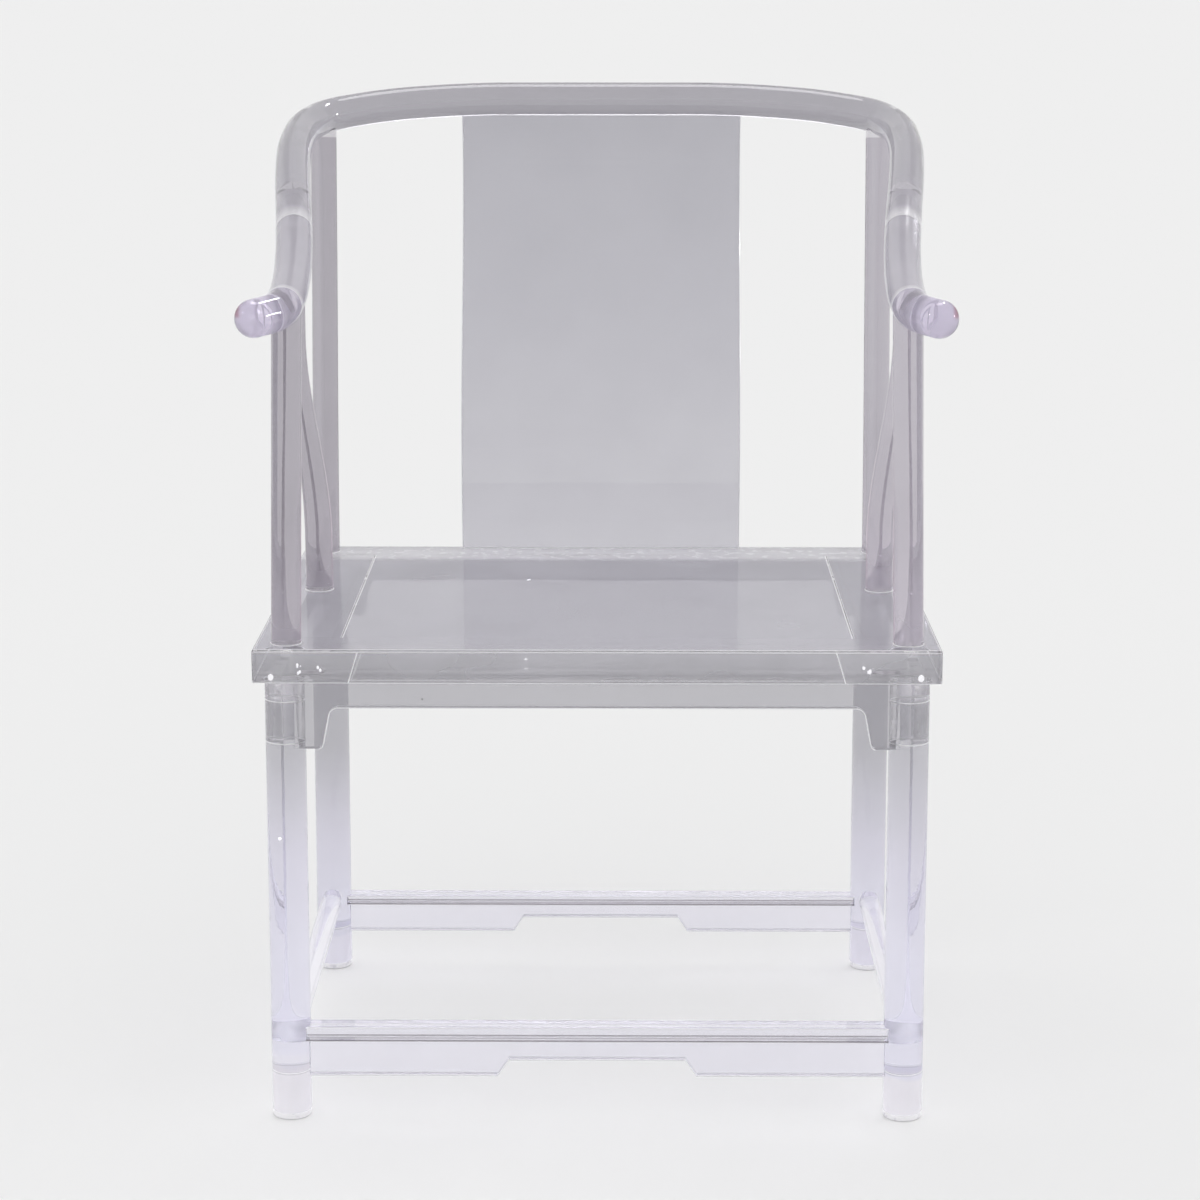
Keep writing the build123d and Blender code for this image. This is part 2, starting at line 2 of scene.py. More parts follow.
# # A clear acrylic armchair
# The chair is cast acrylic, as clear as glass and half its weight. It has a bent round rail that is
# crest and arms in one sweep, a curved splat, a framed seat and round legs, all cut from solid
# stock, polished and joined with solvent cement. The parts come with their true shapes, so what is
# left to make is their finish and what a maker's hand leaves behind: beads of cement, polished
# edges and a few trapped bubbles. The finish also carries painted light: shade that darkens with
# height, white painted highlights on edges, beads and seams, painted reflections in the rods'
# flanks and small glowing balls for glints. Sizes are read from the parts where they can be, so
# that the looks follow them.

# %% Load the parts
import bpy
from math import cos, pi, radians, sin
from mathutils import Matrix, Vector


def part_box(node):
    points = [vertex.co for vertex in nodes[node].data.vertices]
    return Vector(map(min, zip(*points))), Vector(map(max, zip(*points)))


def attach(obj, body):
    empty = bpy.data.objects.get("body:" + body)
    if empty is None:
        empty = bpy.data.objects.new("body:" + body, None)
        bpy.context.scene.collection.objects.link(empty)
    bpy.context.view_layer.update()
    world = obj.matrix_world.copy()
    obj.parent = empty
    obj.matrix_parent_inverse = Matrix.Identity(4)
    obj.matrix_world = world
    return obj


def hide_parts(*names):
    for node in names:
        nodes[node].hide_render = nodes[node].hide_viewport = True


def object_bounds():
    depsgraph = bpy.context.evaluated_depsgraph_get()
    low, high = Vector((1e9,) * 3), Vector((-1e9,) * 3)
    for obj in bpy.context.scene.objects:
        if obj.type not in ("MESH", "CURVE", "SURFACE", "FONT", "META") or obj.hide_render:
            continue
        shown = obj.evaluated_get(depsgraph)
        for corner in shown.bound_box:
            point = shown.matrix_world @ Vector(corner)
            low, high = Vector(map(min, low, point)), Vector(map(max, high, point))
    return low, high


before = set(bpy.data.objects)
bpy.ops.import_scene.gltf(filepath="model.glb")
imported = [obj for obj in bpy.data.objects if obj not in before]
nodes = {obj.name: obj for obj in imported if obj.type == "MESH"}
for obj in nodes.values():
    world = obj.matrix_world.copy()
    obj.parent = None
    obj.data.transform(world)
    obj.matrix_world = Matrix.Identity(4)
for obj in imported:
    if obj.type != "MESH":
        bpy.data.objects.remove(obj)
cad_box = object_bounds()
scene = bpy.context.scene
print(len(nodes), "parts, box", [[round(v, 4) for v in corner] for corner in cad_box])

# %% [markdown]
# ## Camera
# A wide lens close by would splay the uprights apart. A long one from further off keeps them nearly
# parallel, and from a little above the crest, tilted down, the seat's top shows as a narrow band.

# %% Camera
LENS = 87.06                 # mm
SENSOR_WIDTH = 36.0          # mm
CAMERA_PLACE = (0.0242, -2.86445, 1.0997)
TILT_DOWN = 12.627           # degrees
TURN_LEFT = 0.466            # degrees

camera_data = bpy.data.cameras.new("camera")
camera_data.lens = LENS
camera_data.sensor_width = SENSOR_WIDTH
camera = bpy.data.objects.new("camera", camera_data)
camera.location = CAMERA_PLACE
camera.rotation_euler = (radians(90 - TILT_DOWN), 0.0, radians(TURN_LEFT))
scene.collection.objects.link(camera)
scene.camera = camera
print("camera at", CAMERA_PLACE, "with a lens of", LENS, "mm")

# %% [markdown]
# ## Arithmetic with nodes
# A finish is a network of nodes. Dozens of lines that place and link Math nodes hide what they work
# out, so a small class wraps a socket instead: adding, multiplying or comparing two of them adds
# the Math node that does it, and a mask can be written as an ordinary expression.

# %% Values that add up like numbers
class Value:
    """A number in a node tree, as an ordinary operand."""

    def __init__(self, tree, socket):
        self.tree = tree
        self.socket = socket

    def math(self, operation, *others):
        return self.tree.math(operation, self, *others)

    def __add__(self, other):
        return self.math("ADD", other)

    def __sub__(self, other):
        return self.math("SUBTRACT", other)

    def __rsub__(self, other):
        return self.tree.math("SUBTRACT", other, self)

    def __mul__(self, other):
        return self.math("MULTIPLY", other)

    def __truediv__(self, other):
        return self.math("DIVIDE", other)

    def __rtruediv__(self, other):
        return self.tree.math("DIVIDE", other, self)

    def __pow__(self, other):
        return self.math("POWER", other)

    def __abs__(self):
        return self.math("ABSOLUTE")

    def __lt__(self, other):
        return self.math("LESS_THAN", other)

    def __gt__(self, other):
        return self.math("GREATER_THAN", other)

    def between(self, low, high):
        """Spreads a value from 0 to 1 between two other numbers."""
        return self * (high - low) + low

    __radd__ = __add__
    __rmul__ = __mul__


# %% [markdown]
# Every other node comes from one method, which takes the node's type, its settings and the values
# or links of its sockets. The settings, which include a ramp's stops, are set first, because some
# of them change the sockets. A node that is handed to a socket stands for its own first output.
# Materials, the world and Geometry Nodes all use this method, so it belongs to a tree in general.

# %% A tree and its nodes
class Tree:
    """A node tree, and the way in which nodes are added to it."""

    def __init__(self, tree):
        self.tree = tree
        tree.nodes.clear()

    def node(self, kind, settings=None, sockets=None):
        """Adds a node. A short kind, such as Math, is a shader node."""
        made = self.tree.nodes.new(kind if "Node" in kind else "ShaderNode" + kind)
        for key, value in (settings or {}).items():
            if key == "stops":
                set_stops(made.color_ramp.elements, value)
            else:
                setattr(made, key, value)
        for key, value in (sockets or {}).items():
            if isinstance(value, Value):
                value = value.socket
            if isinstance(value, bpy.types.Node):
                value = value.outputs[0]
            if isinstance(value, bpy.types.NodeSocket):
                self.tree.links.new(value, made.inputs[key])
            else:
                made.inputs[key].default_value = value
        return made

    def math(self, operation, *operands):
        return Value(self, self.node("Math", {"operation": operation},
                                     dict(enumerate(operands))).outputs[0])

    def parts_of(self, vector):
        split = self.node("SeparateXYZ", sockets={0: vector})
        return [Value(self, split.outputs[axis]) for axis in "XYZ"]

    def ramp(self, stops, value):
        """A colour that changes with a value."""
        return self.node("ValToRGB", {"stops": stops}, {0: value}).outputs[0]


def set_stops(elements, stops):
    """Gives a colour ramp its (place, colour) stops."""
    while len(elements) > len(stops):
        elements.remove(elements[-1])
    while len(elements) < len(stops):
        elements.new(0.5)
    for element, (place, colour) in zip(elements, stops):
        element.position = place
        element.color = opaque(colour)


def opaque(colour):
    """A colour as a socket takes it: a link as it is, and three numbers with a full alpha."""
    return colour if isinstance(colour, bpy.types.NodeSocket) else (*colour, 1.0)


def tone(red, green, blue):
    """A colour in the 0 to 255 steps of a paint program, as the linear light that shaders use."""
    return tuple(((v / 255 + 0.055) / 1.055) ** 2.4 for v in (red, green, blue))


print("mid grey is", [round(v, 3) for v in tone(128, 128, 128)])

# %% [markdown]
# A finish is a material's tree with what most finishes need: where a point is, soft steps, cloudy
# noise, a blend of two colours and one shader laid over another.

# %% A finish
class Finish(Tree):
    """A material and the nodes that make it."""

    def __init__(self, name):
        self.material = bpy.data.materials.new(name)
        self.material.use_nodes = True
        super().__init__(self.material.node_tree)

    def point(self):
        """Where the surface is, in the chair's own frame."""
        return self.node("TexCoord").outputs["Object"]

    def largest(self, *values):
        result = values[0]
        for other in values[1:]:
            result = self.math("MAXIMUM", result, other)
        return result

    def smallest(self, *values):
        result = values[0]
        for other in values[1:]:
            result = self.math("MINIMUM", result, other)
        return result

    def length(self, across, along):
        return (across * across + along * along).math("SQRT")

    def within(self, value, low, high):
        """0 below low and 1 above high, with a soft step between them."""
        step = self.node("MapRange", {"interpolation_type": "SMOOTHSTEP"},
                         {"Value": value, "From Min": low, "From Max": high})
        return Value(self, step.outputs[0])

    def noise(self, size, detail):
        """Cloudy noise between 0 and 1 whose blotches are about this size in metres."""
        made = self.node("TexNoise", {"noise_dimensions": "3D"},
                         {"Vector": self.point(), "Scale": 1 / size, "Detail": detail})
        return Value(self, made.outputs[0])

    def blend(self, mask, first, second):
        """One colour where the mask is 0 and another where it is 1."""
        made = self.node("Mix", {"data_type": "RGBA"},
                         {"Factor": mask, 6: opaque(first), 7: opaque(second)})
        return made.outputs[2]

    def layer(self, mask, under, over):
        """One shader over another, by a mask."""
        return self.node("MixShader", sockets={0: mask, 1: under, 2: over})

    def finish(self, shader):
        self.node("OutputMaterial", sockets={"Surface": shader})
        return self.material


# %% [markdown]
# ## Floor, background and light
# Clear acrylic shows mostly what stands around it, so the room matters more than the lamps. A grey
# backdrop with an edge would be bent into every rod as a dark stripe. The floor is therefore a wide
# pale sheet and the world a pale dome of the same tone, which only darkens slowly overhead.

# %% Floor
PALE = 0.855
FLOOR_HALF = 150.0

floor_mesh = bpy.data.meshes.new("floor")
floor_mesh.from_pydata([(-FLOOR_HALF, -FLOOR_HALF, 0), (FLOOR_HALF, -FLOOR_HALF, 0),
                        (FLOOR_HALF, FLOOR_HALF, 0), (-FLOOR_HALF, FLOOR_HALF, 0)],
                       [], [(0, 1, 2, 3)])
floor = bpy.data.objects.new("floor", floor_mesh)
scene.collection.objects.link(floor)
paper = Finish("pale_floor")
floor_mesh.materials.append(
    paper.finish(paper.node("BsdfDiffuse", sockets={"Color": opaque((PALE, PALE, PALE))})))
print("floor", 2 * FLOOR_HALF, "m wide")

# %% Dome
CEILING = 0.66
DOME_TOP = 0.8               # how far up the dome is at its darkest, as a share of straight up

world = bpy.data.worlds.new("studio")
scene.world = world
world.use_nodes = True
sky = Tree(world.node_tree)
upwards = sky.parts_of(sky.node("TexCoord").outputs["Generated"])[2]
dome = sky.ramp([(0.0, (PALE,) * 3), (DOME_TOP, (CEILING,) * 3)], upwards)
sky.node("OutputWorld", sockets={"Surface": sky.node("Background", sockets={"Color": dome})})
print("dome from", PALE, "to", CEILING)

# %% [markdown]
# The lamps only add what the dome can't: a shadow and glints. A lamp near the chair would light one
# arm more than the other, so all four stand infinitely far off. Those at the sides are small discs
# and draw thin bright lines on the rods, and the one overhead is as wide as a ceiling light and
# gives a soft shadow. Light that crosses several rods is bent many times, hence the high limits on
# bounces.

# %% Lights
def far_light(name, towards, strength, width):
    """A light so far off that it is the same everywhere, seen as a disc of a width in degrees."""
    data = bpy.data.lights.new(name, "SUN")
    data.energy = strength
    data.angle = radians(width)
    lamp = bpy.data.objects.new(name, data)
    lamp.rotation_euler = Vector(towards).to_track_quat("Z", "Y").to_euler()
    scene.collection.objects.link(lamp)
    print(name, strength)


far_light("left_light", (-0.87, -0.22, 0.45), 0.22, 3.5)
far_light("right_light", (0.98, 0.08, 0.20), 0.24, 4)
far_light("back_light", (0.27, 0.57, 0.77), 0.35, 8)
far_light("ceiling_light", (0.0, 0.32, 0.94), 0.58, 26)
scene.view_settings.view_transform = "Standard"
scene.cycles.use_denoising = True
scene.cycles.max_bounces = 40
scene.cycles.transmission_bounces = 40
scene.cycles.glossy_bounces = 16
scene.cycles.transparent_max_bounces = 64

# %% [markdown]
# ## Where pieces are cemented
# Solvent cement melts two acrylic faces into one, so light goes straight through a good joint. The
# parts keep a thin gap there, which on its own would shine like a mirror. Joining the meshes would
# hide it, but then the chair would no longer be made of parts. So each finish knows the places
# where pieces meet, as simple shapes in the chair's frame, and inside them the surface lets light
# straight through. A shape is a distance that is below zero inside. The right half is enough,
# because the chair is the same on both sides.

# %% Sizes of the seat, legs, rods and aprons
CEMENT_GAP = 0.0001

seat_low, seat_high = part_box("seat_front_rail")[0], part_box("seat_back_rail")[1]
SEAT_TOP = seat_high.z
SEAT_UNDER = seat_low.z
SEAT_HALF = seat_high.x
SEAT_FRONT = seat_low.y
SEAT_BACK = seat_high.y
SEAT_MIDDLE_Y = (SEAT_FRONT + SEAT_BACK) / 2
SEAT_HALF_DEPTH = (SEAT_BACK - SEAT_FRONT) / 2
END_RAIL_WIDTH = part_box("seat_front_rail")[1].y - SEAT_FRONT
PANEL_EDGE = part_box("seat_side_rail_right")[0].x - CEMENT_GAP
leg_low, leg_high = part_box("front_leg_right")
LEG_RADIUS = (leg_high.y - leg_low.y) / 2
LEG_OFF_Y = SEAT_MIDDLE_Y - (leg_low.y + leg_high.y) / 2
LEG_FOOT_X = leg_high.x - LEG_RADIUS
LEG_TOP_X = leg_low.x + LEG_RADIUS
LEG_SLOPE = (LEG_FOOT_X - LEG_TOP_X) / (leg_high.z - leg_low.z)
rod_low, rod_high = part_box("side_stretcher_right")
ROD_RADIUS = (rod_high.x - rod_low.x) / 2
ROD_X = (rod_low.x + rod_high.x) / 2
ROD_Z = (rod_low.z + rod_high.z) / 2
apron_low, apron_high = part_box("apron_front")
APRON_OFF_Y = SEAT_MIDDLE_Y - (apron_low.y + apron_high.y) / 2
APRON_HALF_THICK = (apron_high.y - apron_low.y) / 2
APRON_HALF = apron_high.x
SIDE_APRON_X = sum(corner.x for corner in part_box("apron_right")) / 2
SPLAT_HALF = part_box("back_splat")[1].x
FRONT_BAR_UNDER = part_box("front_stretcher_bar")[0].z
BACK_BAR_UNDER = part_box("back_stretcher_bar")[0].z
print("seat", SEAT_UNDER, SEAT_TOP, "panel", PANEL_EDGE, "leg", LEG_RADIUS, "rod", ROD_RADIUS)

# %% [markdown]
# The rail and its posts follow bends, so their joints can't be read from boxes. They are written
# down instead: each post's foot on the seat, each post's top on the rail's centre line, and the two
# cuts across the rail with the direction in which the rail runs there.

# %% Centres of the other joints
POST_FEET = {                # x, y and the post's radius
    "front": (0.2905, -0.23025, 0.0140),
    "side": (0.2830, 0.00375, 0.0137),
    "back": (0.2945, 0.19375, 0.0137)}
POST_TOPS = {                # x, y, height, radius and how far the post leans in for its height
    "front": (0.28273, -0.23025, 0.78936, 0.0140, 0.0242),
    "side": (0.30091, 0.00375, 0.87201, 0.0094, 0.0),
    "back": (0.29286, 0.23175, 0.92717, 0.0137, 0.0)}
CREST_JOINT = ((0.2905, -0.08625, 0.8385), (-0.0990, -0.9190, -0.3817))
GRIP_JOINT = ((0.28389, -0.24525, 0.78591), (0.0895, -0.9720, -0.2174))
RAIL_RADIUS = 0.0174
PEG_LONG = 0.0085            # half the length of the peg across a joint of the rail
PEG_RADIUS = 0.0083
TOP_PAST = 0.0040            # how far a post's joint reaches below the rail and above its middle
SPLAT_FOOT_Y = 0.2152
SPLAT_TOP_Y = 0.2921
SPLAT_TOP_Z = 0.9330
SPLAT_TOP_HALF = 0.0075      # half the height over which the splat enters the rail
SPLAT_HALF_THICK = 0.0050
SKIN = 0.0003                # how far inside a piece's own surface a joint starts
GLUE = 0.0006                # half the thickness of a bonded layer
ROD_STOPS = 0.4              # how far from a leg's axis a rod's joint stops, in the leg's radii
print(len(POST_FEET), "post feet,", len(POST_TOPS), "post tops, 2 cuts across the rail")


# %% Shapes of the seat's and the legs' joints
def inside_seat(f, x, y, z):
    """The whole seat, so that its members and all that is let into them are one."""
    middle = (SEAT_TOP + SEAT_UNDER) / 2
    half = (SEAT_TOP - SEAT_UNDER) / 2 - SKIN
    return f.largest(x - (SEAT_HALF - SKIN), abs(y - SEAT_MIDDLE_Y) - (SEAT_HALF_DEPTH - SKIN),
                     abs(z - middle) - half)


def inside_leg(f, x, y, z):
    """A leg up to the seat, round its leaning axis."""
    across = x - (LEG_FOOT_X - (z - leg_low.z) * LEG_SLOPE)
    along = abs(y - SEAT_MIDDLE_Y) - LEG_OFF_Y
    middle = (leg_low.z + SEAT_UNDER) / 2
    half = (SEAT_UNDER - leg_low.z) / 2
    return f.largest(f.length(across, along) - (LEG_RADIUS - SKIN), abs(z - middle) - half)


def inside_rod(f, x, y, z):
    """A side stretcher to a little past its shoulders, which lie inside the legs."""
    half_long = LEG_OFF_Y - LEG_RADIUS * ROD_STOPS
    return f.largest(f.length(x - ROD_X, z - ROD_Z) - (ROD_RADIUS - SKIN),
                     abs(y - SEAT_MIDDLE_Y) - half_long)


def apron_top(f, x, y, z):
    """The thin layer between the seat and the tops of the four aprons."""
    layer = abs(z - SEAT_UNDER) - GLUE
    end = f.largest(abs(abs(y - SEAT_MIDDLE_Y) - APRON_OFF_Y) - (APRON_HALF_THICK - SKIN),
                    x - APRON_HALF)
    side = f.largest(abs(x - SIDE_APRON_X) - (APRON_HALF_THICK - SKIN),
                     abs(y - SEAT_MIDDLE_Y) - LEG_OFF_Y)
    return f.largest(layer, f.smallest(end, side))


# %% Shapes of the posts', the splat's and the rail's joints
def post_foot(kind):
    """The thin layer under a post."""
    cx, cy, radius = POST_FEET[kind]

    def shape(f, x, y, z):
        return f.largest(f.length(x - cx, y - cy) - (radius - SKIN), abs(z - SEAT_TOP) - GLUE)
    return shape


def post_top(kind):
    """A post's end inside the rail."""
    cx, cy, cz, radius, lean = POST_TOPS[kind]

    def shape(f, x, y, z):
        return f.largest(f.length(x - cx - (cz - z) * lean, y - cy) - (radius - SKIN),
                         abs(z - (cz - RAIL_RADIUS / 2)) - (RAIL_RADIUS / 2 + TOP_PAST))
    return shape


def splat_foot(f, x, y, z):
    return f.largest(x - (SPLAT_HALF - SKIN),
                     abs(y - SPLAT_FOOT_Y) - (SPLAT_HALF_THICK - SKIN),
                     abs(z - SEAT_TOP) - GLUE)


def splat_top(f, x, y, z):
    return f.largest(x - (SPLAT_HALF - SKIN), abs(y - SPLAT_TOP_Y) - (SPLAT_HALF_THICK - SKIN),
                     abs(z - SPLAT_TOP_Z) - SPLAT_TOP_HALF)


def from_cut(point, cut):
    """How far a point lies past a cut along the rail, and its squared distance from the centre."""
    centre, along = cut
    px, py, pz = (value - middle for value, middle in zip(point, centre))
    return px * along[0] + py * along[1] + pz * along[2], px * px + py * py + pz * pz


def rail_joint(cut):
    """The faces of a cut across the rail and the peg that crosses it."""
    def shape(f, x, y, z):
        run, square = from_cut((x, y, z), cut)
        away = (square - run * run).math("SQRT")
        face = f.largest(abs(run) - GLUE, away - (RAIL_RADIUS - SKIN))
        peg = f.largest(abs(run) - PEG_LONG, away - PEG_RADIUS)
        return f.smallest(face, peg)
    return shape


post_tops = [post_top(kind) for kind in POST_TOPS]
post_feet = [post_foot(kind) for kind in POST_FEET]
print("joints of", ", ".join(POST_FEET), "posts, splat, rail, seat, legs and aprons")

# %% [markdown]
# ## Clear acrylic
# The clear part is a polished surface that transmits and bends light as acrylic does. Clear alone
# would look like new glass, but acrylic that has been handled is never quite clear: fine polishing
# haze scatters some of the light. So a milky satin layer is mixed over the clear one, by an amount
# that drifts slowly over the piece. The tone follows the height, from almost white at the feet to a
# lavender grey at the crest: painted shade, which stands in for the pale floor below and the darker
# room above that the acrylic shows. Shadow rays pass with a slight loss, because real acrylic
# throws only a pale shadow.

# %% Acrylic recipe
ACRYLIC_IOR = 1.49
CHAIR_HEIGHT = cad_box[1][2]
SHADOW_LEFT = 0.975          # the share of light that one surface leaves to a shadow
DRIFT_SIZE = 0.11            # m, of the slow changes in tone and haze
MARK_SIZE = 0.012            # m, of the polishing marks
WAVE_SIZE = 0.12             # m, of the slight waves that polishing leaves
WAVE_DEEP = 0.0003           # m
TONE_DRIFT = 0.05            # how far the tone drifts up and down, as a share of the height
HAZE_DRIFT = 0.7, 1.3        # the shares between which the haze drifts
CLEAR_ROUGH = 0.004          # roughness of the clear layer where it is marked most
MILKY_ROUGH = 0.12, 0.17     # of the milky layer
EDGE_ROUGH = 0.1, 0.4        # of the white edges
EDGE_HIGHLIGHT_WHITE = tone(250, 249, 252)
EDGE_SHARE = 0.75


def scaled(colour, by):
    return tuple(min(v * by, 1.0) for v in colour)


def plastic(f, colour, roughness, **more):
    """Polished plastic, with acrylic's way of bending light."""
    return f.node("BsdfPrincipled", sockets={
        "Base Color": colour, "Roughness": roughness, "IOR": ACRYLIC_IOR, **more})


def acrylic(name, tones, haze, bonds, edges=None, clear_by=1.2, milky_by=1.2, blush=None,
            dull=None):
    """Polished acrylic: shade painted by height, haze, painted bright edges and cemented places.

    tones and haze are (height, value) stops. clear_by and milky_by lift the tones of the clear and
    the milky layer. edges gives where a white painted highlight lies over it. The argument after
    milky_by gives where it is tinted: by painted reflections, and on the stretchers by a dark line.
    dull gives the share of the surface that mirrors nothing, the height it starts at and its tone.
    """
    f = Finish(name)
    x, y, z = f.parts_of(f.point())
    x = abs(x)
    drift = f.noise(DRIFT_SIZE, 2.0)
    marks = f.noise(MARK_SIZE, 3.0)
    wave = f.node("Bump", sockets={"Strength": 1.0, "Distance": WAVE_DEEP,
                                   "Height": f.noise(WAVE_SIZE, 0.0)})
    up = z / CHAIR_HEIGHT + (drift - 0.5) * TONE_DRIFT
    clear_tone, milky_tone = [
        f.ramp([(place / CHAIR_HEIGHT, scaled(colour, by)) for place, colour in tones], up)
        for by in (clear_by, milky_by)]
    # Painted reflections, and on the stretchers a dark line, tint both layers where their mask is.
    if blush:
        mask, colour = blush(f, x, y, z)
        clear_tone = f.blend(mask, clear_tone, colour)
        milky_tone = f.blend(mask, milky_tone, colour)
    clear = plastic(f, clear_tone, marks ** 3 * CLEAR_ROUGH, Normal=wave,
                    **{"Transmission Weight": 1.0})
    if dull:
        share, lowest, colour = dull
        rubbed = f.node("BsdfRefraction", sockets={"Color": opaque(colour), "IOR": ACRYLIC_IOR})
        from_outside = 1 - Value(f, f.node("NewGeometry").outputs["Backfacing"])
        clear = f.layer((z > lowest) * from_outside * share, clear, rubbed)
    milky = plastic(f, milky_tone, marks.between(*MILKY_ROUGH), Normal=wave)
    hazy = Value(f, f.ramp([(place / CHAIR_HEIGHT, (v, v, v)) for place, v in haze],
                           z / CHAIR_HEIGHT))
    body = f.layer(hazy * drift.between(*HAZE_DRIFT), clear, milky)
    # Painted highlight: a white layer over the edges that the mask picks.
    if edges:
        white = plastic(f, opaque(EDGE_HIGHLIGHT_WHITE), marks.between(*EDGE_ROUGH))
        body = f.layer(edges(f, x, y, z) * EDGE_SHARE, body, white)
    in_shadow = Value(f, f.node("LightPath").outputs["Is Shadow Ray"])
    shade = f.node("BsdfTransparent", sockets={"Color": opaque((SHADOW_LEFT,) * 3)})
    body = f.layer(in_shadow, body, shade)
    inside = f.smallest(*(bond(f, x, y, z) for bond in bonds))
    passing = f.node("BsdfTransparent", sockets={"Color": opaque((1, 1, 1))})
    return f.finish(f.layer(inside < 0.0, body, passing))


print("a chair", round(CHAIR_HEIGHT, 3), "m high, from white at the feet to grey at the crest")

# %% [markdown]
# ## Painted bright edges
# A sawn or rounded edge of acrylic gathers light and shows as a bright line, and here that line is
# a painted highlight: a white layer laid over the edge. The edges could be modelled as strips, but
# a mask is enough, because they differ from the faces only in which way they look. On a piece with
# square faces a broken edge looks along no axis, and a sawn edge of a board doesn't look along the
# board's thickness. On the seat the same mask also paints the fine seams white: the V groove beside
# the panel and the slanted seam near each end of the front. It also lays a paler strip of painted
# light along the seat's back.

# %% Edges
SQUARE = 0.985               # above this, a face looks along an axis
SAWN = 0.90                  # below this, a face isn't one of a board's two wide faces
SEAM_HALF = 0.0006
GROOVE_HALF = 0.0008
GROOVE_IN = 0.0009           # how far inside the panel's edge the groove's middle lies
GROOVE_PAST = 0.0005         # how far it runs past the panel's ends
MITRE_X = 0.221              # where the slanted seam starts at the seat's top
MITRE_LEAN = 0.30
PALE_START, PALE_FULL = 0.085, 0.055   # distances from the seat's back edge
PALE_SHARE = 0.45
ROUNDED = 0.12, 0.99         # between these, a face looks neither level nor straight up
TOP_SKIN = 0.001


def facing(f):
    return f.parts_of(f.node("NewGeometry").outputs["True Normal"])


def broken_edge(f, x, y, z):
    return f.largest(*(abs(part) for part in facing(f))) < SQUARE


def sawn_edge(f, x, y, z):
    return abs(facing(f)[1]) < SAWN


def seat_edge(f, x, y, z):
    """Painted highlights on its rounded edges and seams, and pale painted light along its back."""
    upright = abs(facing(f)[2])
    round_edge = (upright > ROUNDED[0]) * (upright < ROUNDED[1])
    panel_end = SEAT_HALF_DEPTH - END_RAIL_WIDTH + GROOVE_PAST
    groove = ((abs(x - (PANEL_EDGE - GROOVE_IN)) < GROOVE_HALF)
              * (abs(y - SEAT_MIDDLE_Y) < panel_end) * (z > SEAT_TOP - 2 * TOP_SKIN))
    mitre = ((abs(x - MITRE_X - (SEAT_TOP - z) * MITRE_LEAN) < SEAM_HALF)
             * (y < SEAT_FRONT + TOP_SKIN))
    pale_back = (f.within(y, SEAT_BACK - PALE_START, SEAT_BACK - PALE_FULL)
                 * (z > SEAT_TOP - TOP_SKIN) * PALE_SHARE)
    return f.largest(round_edge, groove, mitre, pale_back)


print("seams on the seat at", round(PANEL_EDGE, 4), "and", MITRE_X, "m from the middle")

# %% [markdown]
# ## Painted tints, bands and a dark line
# A rod of clear acrylic bends the room's colours into its flanks, so a post may have a pink line
# down its side or a pale band where it gathers the light. Lights of those colours would tint the
# whole chair, so these reflections are painted into the finish, where the surface looks sideways.
# A cut across the rail shows lighter on one side, and that band is painted white too. A bar's front
# is dark along its joint with the strip.

# %% Tints
PINK = tone(208, 132, 174)
RED = tone(170, 62, 88)
PALE_GREY = tone(214, 212, 219)
# The colour of the dark line on a stretcher bar's front, a little above its joint with the strip.
BAR_LINE_DARK = tone(60, 48, 58)
FLANK = 0.94, 0.998          # how far sideways a rod looks where its tint starts and is full
BAND_LOOKS = 0.45            # how far to the left the middle of a post's lighter band looks
BAND_FADES = 0.05, 0.40      # the distances from there over which it fades
FORWARDS = -0.5              # below this, a face looks to the front
BAND_SHARE, TIP_SHARE, JOINT_SHARE, CUT_BAND_SHARE = 0.55, 0.75, 0.9, 0.6
BAR_JOINT_HALF = 0.0010
BAR_JOINT_UP = 0.0012        # the dark line lies on the bar, a little above its joint
TIP_OUT = 0.3150, 0.3190     # from the middle, where the red at a grip's tip starts and is full
TIP_UP = 0.7790, 0.7835      # the same in height
TIP_BACK = -0.27             # and how far back it reaches
CUT_BANDS = ((CREST_JOINT, 0.024), (GRIP_JOINT, 0.009))   # cuts, and how far the painted band reaches
CUT_BAND_OUT = 1.9              # and how far it reaches from the cut's middle, in the rail's radii


def sideways(f):
    """How far the surface looks to the right, from -1 to 1."""
    return f.parts_of(f.node("NewGeometry").outputs["Normal"])[0]


def tinted_sides(low, high, amount, colour):
    """Painted reflection: a faint room colour in a rod's flanks, fading between two heights."""
    def blush(f, x, y, z):
        flank = f.within(abs(sideways(f)), *FLANK)
        return flank * (1 - f.within(z, low, high)) * amount, colour
    return blush


def soft_band(f, x, y, z):
    """A lighter band down the left of a post, where it gathers the light of the room."""
    band = 1 - f.within(abs(sideways(f) + BAND_LOOKS), *BAND_FADES)
    return band * BAND_SHARE, PALE_GREY


def red_tip(f, x, y, z):
    """A red glint that gathers high on the outer end of each grip."""
    tip = f.within(x, *TIP_OUT) * f.within(z, *TIP_UP) * (y < TIP_BACK)
    return tip * TIP_SHARE, RED


def bar_joint(f, x, y, z):
    """The dark line between a stretcher's bar and the strip under it, seen from the front."""
    height = FRONT_BAR_UNDER + BAR_JOINT_UP - (y > 0.0) * (FRONT_BAR_UNDER - BACK_BAR_UNDER)
    line = (abs(z - height) < BAR_JOINT_HALF) * (facing(f)[1] < FORWARDS)
    return line * JOINT_SHARE, BAR_LINE_DARK


